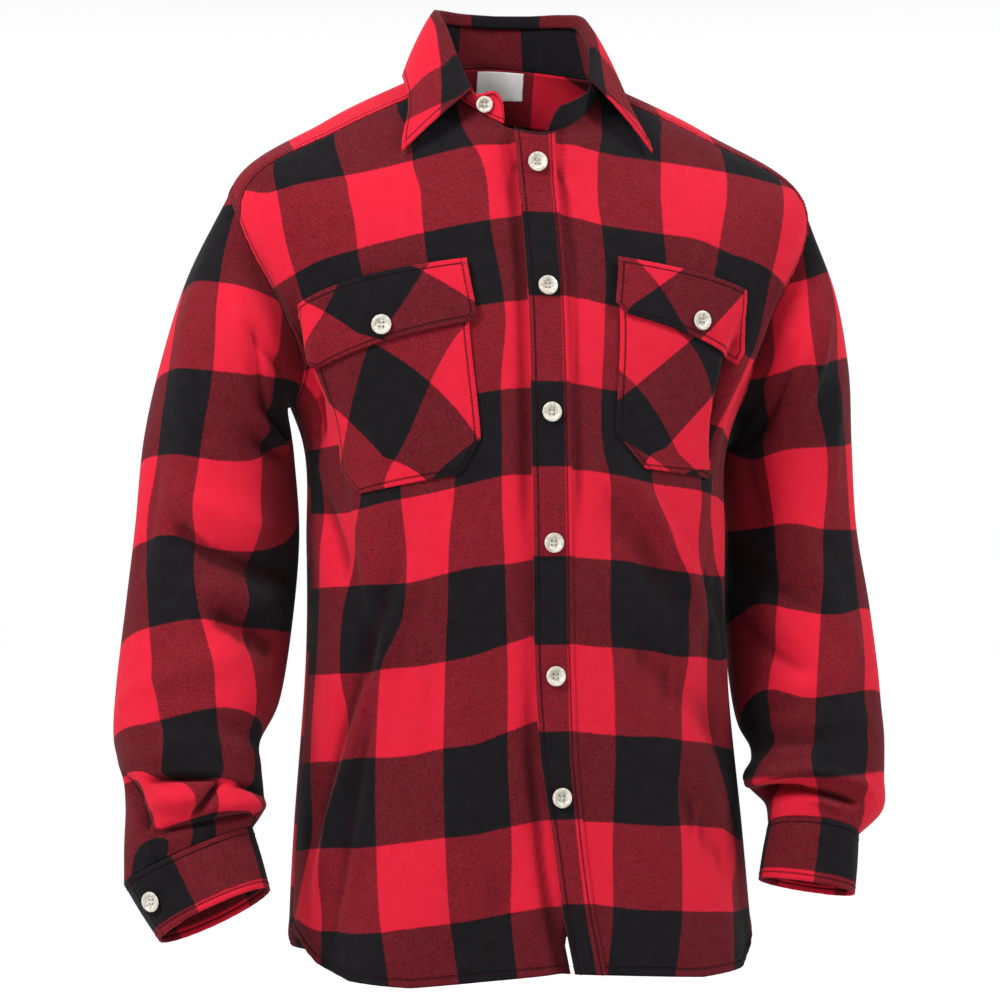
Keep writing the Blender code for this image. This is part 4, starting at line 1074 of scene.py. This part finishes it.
def foldLine(angle):
    half, onRight = fromFront(angle), (angle > 180)[..., None]
    bare = collar["bareTo"]
    point = lookup(collar["fold"], np.maximum(half, bare)) * np.where(onRight, (-1, 1, 1), 1)
    drop = np.where(onRight, collar["drop"]["right"], collar["drop"]["left"])
    return point + drop * ease((74 - half) / (74 - bare))[..., None]


def foldFrame(angle):
    near = np.clip(angle, 37, 323)
    outward = unit(foldLine(near) * (1, 1, 0))
    up = unit(np.cross(outward, foldLine(near + 1) - foldLine(near - 1)))
    return outward, np.where(up[..., 2:] < 0, -up, up)


def buildStand():
    (first, last), (low, high), bare = collar["standEnds"], collar["fallEnds"], collar["bareTo"]
    before, under, past = collar["standColumns"]
    angle = np.concatenate([np.linspace(first, low, before), np.linspace(low, high, under)[1:-1],
                            np.linspace(high, last, past)])
    foot = bodyPoint(angle, np.full(angle.shape, body["neckRing"]))
    top = foldLine(angle) - foldFrame(angle)[1] * .0012
    right, left = (foldLine(at % 360) - bodyPoint(at, np.array([body["neckRing"]]))
                   for at in np.array([[-bare], [bare]], float))
    rise = np.where((angle > 180)[:, None], right, left)
    # the end with the button stands up and turns to the front
    rise = blend(rise, collar["buttonEnd"], ease((angle - high) / 5)[:, None])
    fromEnd = np.minimum(angle - first, last - angle) / collar["roundOver"]
    rounded = np.sqrt(1 - (1 - np.clip(fromEnd, 0, 1)) ** 2)[:, None] * .8 + .2
    bareTop = foot + rise * collar["standHeight"] * rounded
    top = np.where((fromFront(angle) < bare)[:, None], bareTop, top)
    grid = foot + (top - foot) * np.linspace(0, 1, collar["standRows"])[:, None, None]
    outward = normals(grid, collar["middle"])
    inward = np.sum(outward * (grid - collar["middle"]), -1, keepdims=True) < 0
    moved["collar_button"] = grid.reshape(-1, 3), np.where(inward, -outward, outward).reshape(-1, 3)
    down = np.interp(angle, (285, 305), (1.5, .5)) + lengthsDown(grid) * 2
    uv = np.stack(np.broadcast_arrays(read(collar["standStripes"], angle), down), -1)
    addSewn("collarStand", grid, uv, collar["middle"], ("foot", "top") + ends, collar["standStitches"],
            sewnAt=("foot", "top"))


def buildFall():
    angle = np.linspace(*collar["fallEnds"], collar["fallColumns"])
    onRight, half = angle > 180, fromFront(angle)
    right, left = (lookup(collar["edge"][side], half) for side, _ in sides)
    edgeAngle, edgeRing = np.where(onRight[:, None], right * (-1, 1), left).T
    fold, (outward, up) = foldLine(angle), foldFrame(angle)
    edge = bodyPoint(edgeAngle, edgeRing, collar["fallOff"]) - fold
    rows = [fold + outward * out + up * high for out, high in collar["section"]]
    start = collar["section"][-1][0]
    for share in (.15, .35, .60, .82, 1.0):    # from the fold down to the free edge
        bulge = collar["bulge"] * np.sin(np.pi * share) ** .8
        rows.append(fold + edge * share + outward * (start * (1 - share) + bulge))
    inside, outside = collar["fallRows"]
    at = np.concatenate([np.linspace(0, 4, inside), np.linspace(4, 9, outside)[1:]])
    share = np.clip((at - 2) / 7, 0, 1)[:, None]
    slant = np.where(onRight, 14, -12) * np.clip((share - .45) / .55, 0, 1)
    down = 2 + (share - read(collar["fallRed"], angle)) * .9
    uv = np.stack(np.broadcast_arrays(read(collar["fallStripes"], angle + slant), down), -1)
    addSewn("collarFall", spline(rows, at), uv, collar["middle"], ends + ("top",),
            collar["fallStitches"], collar["fallSeam"], thickness=.0014)


buildStand()
buildFall()
print("collar made")

patches = {
    "pocket": {"rows": 56, "knee": 5 / 7, "lift": .0022},    # knee: where the sides turn in
    "flap": {"rows": 40, "knee": 4 / 5, "lift": .0052},
    "columns": 52, "stitches": .0045, "seam": (-.0004, .004, .00025, .009),
    # corners by angle and ring: top, then the low corners of the two sides and the foot between
    # them; checks counted at three by three places, across and down
    "pocketRight": {
        "corners": ((-55.5, 5.03), (-14.0, 5.57), (-15.3, 3.99), (-21.2, 3.66),
                    (-54.6, 3.47), (-65.6, 3.70)),
        "check": (((.00, .69, 1.42), (.75, 1.58, 2.58), (1.42, 2.44, 3.58)),
                  ((.90, .46, .05), (2.26, 1.49, .71), (2.97, 2.36, 1.33))),
    },
    "flapRight": {
        "corners": ((-59.1, 5.14), (-13.5, 5.70), (-12.8, 5.13), (-14.1, 5.03),
                    (-57.3, 4.62), (-65.2, 4.71)),
        "check": (((.29, 1.31, 2.31), (.67, 1.61, 2.58), (1.08, 1.96, 2.83)),
                  ((2.10, 1.38, .65), (2.53, 1.72, .91), (2.94, 2.04, 1.16))),
    },
    "pocketLeft": {
        "corners": ((10.5, 5.62), (42.5, 5.17), (52.0, 3.70), (49.0, 3.63),
                    (23.1, 3.72), (13.9, 4.05)),
        "check": (((3.49, 3.57, 3.66), (1.89, 2.42, 3.01), (.28, 1.31, 2.37)),
                  ((-.48, .33, 1.15), (.79, 1.62, 2.48), (2.04, 2.90, 3.80))),
    },
    "flapLeft": {
        "corners": ((10.0, 5.76), (43.4, 5.34), (50.5, 4.78), (50.0, 4.67),
                    (12.3, 5.13), (10.2, 5.25)),
        "check": (((1.86, 2.50, 2.96), (1.63, 2.31, 2.98), (1.38, 2.10, 2.83)),
                  ((.31, 1.16, 2.02), (.64, 1.57, 2.48), (.98, 1.95, 2.92))),
    },
}


def patchPlaces(corners, columns, rows, knee):
    topLeft, topRight, rightLow, bottomRight, bottomLeft, leftLow = np.array(corners)
    across = np.linspace(0, 1, columns)[:, None]
    grid = []
    for share in np.linspace(0, 1, rows):
        bend = min(share / knee, 1)
        tail = max((share - knee) / (1 - knee), 0)
        left = blend(blend(topLeft, leftLow, bend), bottomLeft, tail)
        right = blend(blend(topRight, rightLow, bend), bottomRight, tail)
        grid.append(blend(left, right, across))
    return np.moveaxis(np.array(grid), -1, 0)


def biasCheck(tables, *counts):
    # stripes of a patch cut on the slant, from three by three places over it
    across, down = (np.stack([(2 * share - 1) * (share - 1), 4 * share * (1 - share),
                              share * (2 * share - 1)])
                    for share in (np.linspace(0, 1, count) for count in counts))
    return np.stack([down.T @ np.array(table) @ across for table in tables], -1)


def buildPatch(kind, name):
    look, columns, rows = patches[kind], patches["columns"], patches[kind]["rows"]
    angle, ring = patchPlaces(patches[name]["corners"], columns, rows, look["knee"])
    uv = biasCheck(patches[name]["check"], columns, rows)
    addSewn(name, bodyPoint(angle, ring, look["lift"]), uv, body["middle"], ends + ("top", "foot"),
            patches["stitches"], patches["seam"])


for side, _ in sides:
    for kind in ("pocket", "flap"):
        buildPatch(kind, sided(kind, side))
print("pockets and flaps made")

button = {
    # section from the middle of the top over the rim to the back, as shares of radius and height
    "section": ((0, .30), (.20, .30), (.52, .34), (.62, .70), (.72, .92), (.84, 1.0), (.95, .92),
                (1.0, .62), (.93, .34), (.45, 0), (0, 0)),
    "thickness": .0030, "turns": 40, "apart": .0016, "hole": .00085,
    "small": .0135, "large": .0160, "smallBelow": .0148,    # diameters made, and that of the cut
}


def buttonMesh(diameter):
    # turned disc with four holes drilled through it, facing up
    radius, high, apart = diameter / 2, button["thickness"], button["apart"]
    disc, drill = (addObject(name, bpy.data.meshes.new(name)) for name in ("buttonBlank", "drill"))
    work = bmesh.new()
    line = [work.verts.new((radius * r, 0, high * z)) for r, z in button["section"]]
    edges = [work.edges.new(pair) for pair in zip(line, line[1:])]
    bmesh.ops.spin(work, geom=line + edges, axis=(0, 0, 1), cent=(0, 0, 0), angle=2 * np.pi,
                   steps=button["turns"], use_duplicate=False)
    bmesh.ops.remove_doubles(work, verts=work.verts, dist=.00001)
    bmesh.ops.recalc_face_normals(work, faces=work.faces)
    work.to_mesh(disc.data)
    work.clear()
    for x in (-apart, apart):
        for y in (-apart, apart):
            bmesh.ops.create_cone(work, cap_ends=True, segments=14, radius1=button["hole"],
                                  radius2=button["hole"], depth=high * 3,
                                  matrix=Matrix.Translation((x, y, high / 2)))
    work.to_mesh(drill.data)
    work.free()
    cut = disc.modifiers.new("holes", "BOOLEAN")
    cut.object, cut.operation, cut.solver = drill, "DIFFERENCE", "EXACT"
    return baked(disc, drill)


def buttonPlace(node):
    # middle of the back face, the way out and the diameter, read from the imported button
    points = np.array([v.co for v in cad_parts[node].data.vertices])
    middle = points.mean(0)
    out = np.linalg.svd(points - middle)[2][2]
    heights = (points - middle) @ out
    wide = np.linalg.norm(np.cross(points - middle, out), axis=1)
    if heights[wide < wide.max() * .5].mean() > 0:
        out, heights = -out, -heights
    back = middle + out * heights.min()
    if node in moved:
        seat, way = moved[node]
        near = np.argmin(np.linalg.norm(seat - back - collar["drop"]["right"] * .2, axis=1))
        back, out = seat[near] + way[near] * .0003, way[near]
    return back, out, wide.max() * 2


def buildButtons():
    blanks = {size: buttonMesh(button[size]) for size in ("small", "large")}
    apart, high = button["apart"], button["thickness"] * .36
    path = ((-apart, .0004), (-apart, high), (-apart * .6, high + .0004),
            (apart * .6, high + .0004), (apart, high), (apart, .0004))
    threads = []
    for node in [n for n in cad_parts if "button" in n]:
        back, out, diameter = buttonPlace(node)
        first, *words = node.split("_")
        name = first + "".join(w.capitalize() for w in words)
        mesh = blanks["small" if diameter < button["smallBelow"] else "large"].copy()
        mesh.name = name
        place = Matrix.Translation(back) @ Vector(out).to_track_quat("Z", "Y").to_matrix().to_4x4()
        mesh.transform(place)
        mesh.materials.clear()
        mesh.materials.append(pearlButton)
        piece = addObject(name, mesh)
        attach(piece, "root")
        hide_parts(node)
        # two pairs of threads, from hole to hole
        threads += [([place @ Vector((x, y * apart + shift, z)) for x, z in path], [out] * len(path))
                    for y in (-1, 1) for shift in (-.00025, .00025)]
    sew("button", threads, "button")


buildButtons()
print("buttons made")

label = {"rings": (7.97, 7.56), "across": (-.0145, .0265), "lift": -.0008, "thickness": .0008}


def buildLabel():
    ring = np.broadcast_to(np.linspace(*label["rings"], 24)[:, None], (24, 30))
    angle = 180 - angleAt(ring, np.linspace(*label["across"], 30))
    grid = bodyPoint(angle, ring, label["lift"])
    uv = np.stack([lengthsAcross(grid), lengthsDown(grid)], -1)
    addCloth("neckLabel", grid, uv, body["middle"], thickness=label["thickness"], material=wovenLabel)


buildLabel()
print("label made")
stage = {
    "floorHeight": -1.55, "floorSize": 60,
    "floorColours": ((.95, .95, .95, 1), (.93575, .93575, .93575, 1)),
    "glow": (.80, .80, .80, 1), "glowFrom": 1.8, "glowTo": 4.2,
    "horizon": (1, 1, 1, 1), "above": (.16, .16, .17, 1), "skyFrom": .14, "skyTo": .26,
    "lights": (((-2.0, -1.25, 1.6), 1.0, 110),    # place, size, power
               ((2.0, -1.05, 1.5), 1.0, 60),
               ((.2, 2.6, 1.6), 2.0, 45)),
    "aim": (0, 0, -.35),
}
camera = {"sensor": 36, "lens": 112.77, "place": (-.64190, -2.51955, -.344), "turn": -14}


def buildStage():
    made, shader, place = newMaterial("paleFloor", Roughness=.85, Emission_Strength=1)
    place.noise(3, 4).mixColour(*stage["floorColours"]).into(shader, "Base Color")
    # the floor lightens with distance, so that it meets a white horizon
    far = place.node("ShaderNodeVectorMath", {"operation": "LENGTH"}, 1, i0=place)
    glow = far.smooth(stage["glowFrom"], stage["glowTo"])
    glow.mixColour((0, 0, 0, 1), stage["glow"]).into(shader, "Emission Color")
    half, z = stage["floorSize"] / 2, stage["floorHeight"]
    addMesh("floor", [(-half, -half, z), (half, -half, z), (half, half, z), (-half, half, z)],
                     [(0, 1, 2, 3)], made)
    world = bpy.data.worlds.new("softRoom")
    world.use_nodes = True
    high = Maths(world.node_tree).node("ShaderNodeTexCoord").part(2)
    sky = high.smooth(stage["skyFrom"], stage["skyTo"]).mixColour(stage["horizon"], stage["above"])
    sky.into(world.node_tree.nodes["Background"], "Color")
    bpy.context.scene.world = world
    for number, (spot, size, power) in enumerate(stage["lights"]):
        lamp = bpy.data.lights.new("softLight%d" % number, "AREA")
        lamp.size, lamp.energy = size, power
        holder = addObject("softLight%d" % number, lamp)
        holder.location = spot
        aim = Vector(stage["aim"]) - holder.location
        holder.rotation_euler = aim.to_track_quat("-Z", "Y").to_euler()


def buildCamera():
    lens = bpy.data.cameras.new("camera")
    lens.sensor_width, lens.lens = camera["sensor"], camera["lens"]
    holder = addObject("camera", lens)
    holder.location = camera["place"]
    holder.rotation_euler = (np.pi / 2, 0, np.radians(camera["turn"]))
    bpy.context.scene.camera = holder


buildStage()
buildCamera()
bpy.context.scene.view_settings.view_transform = "Standard"
print("stage and camera made")
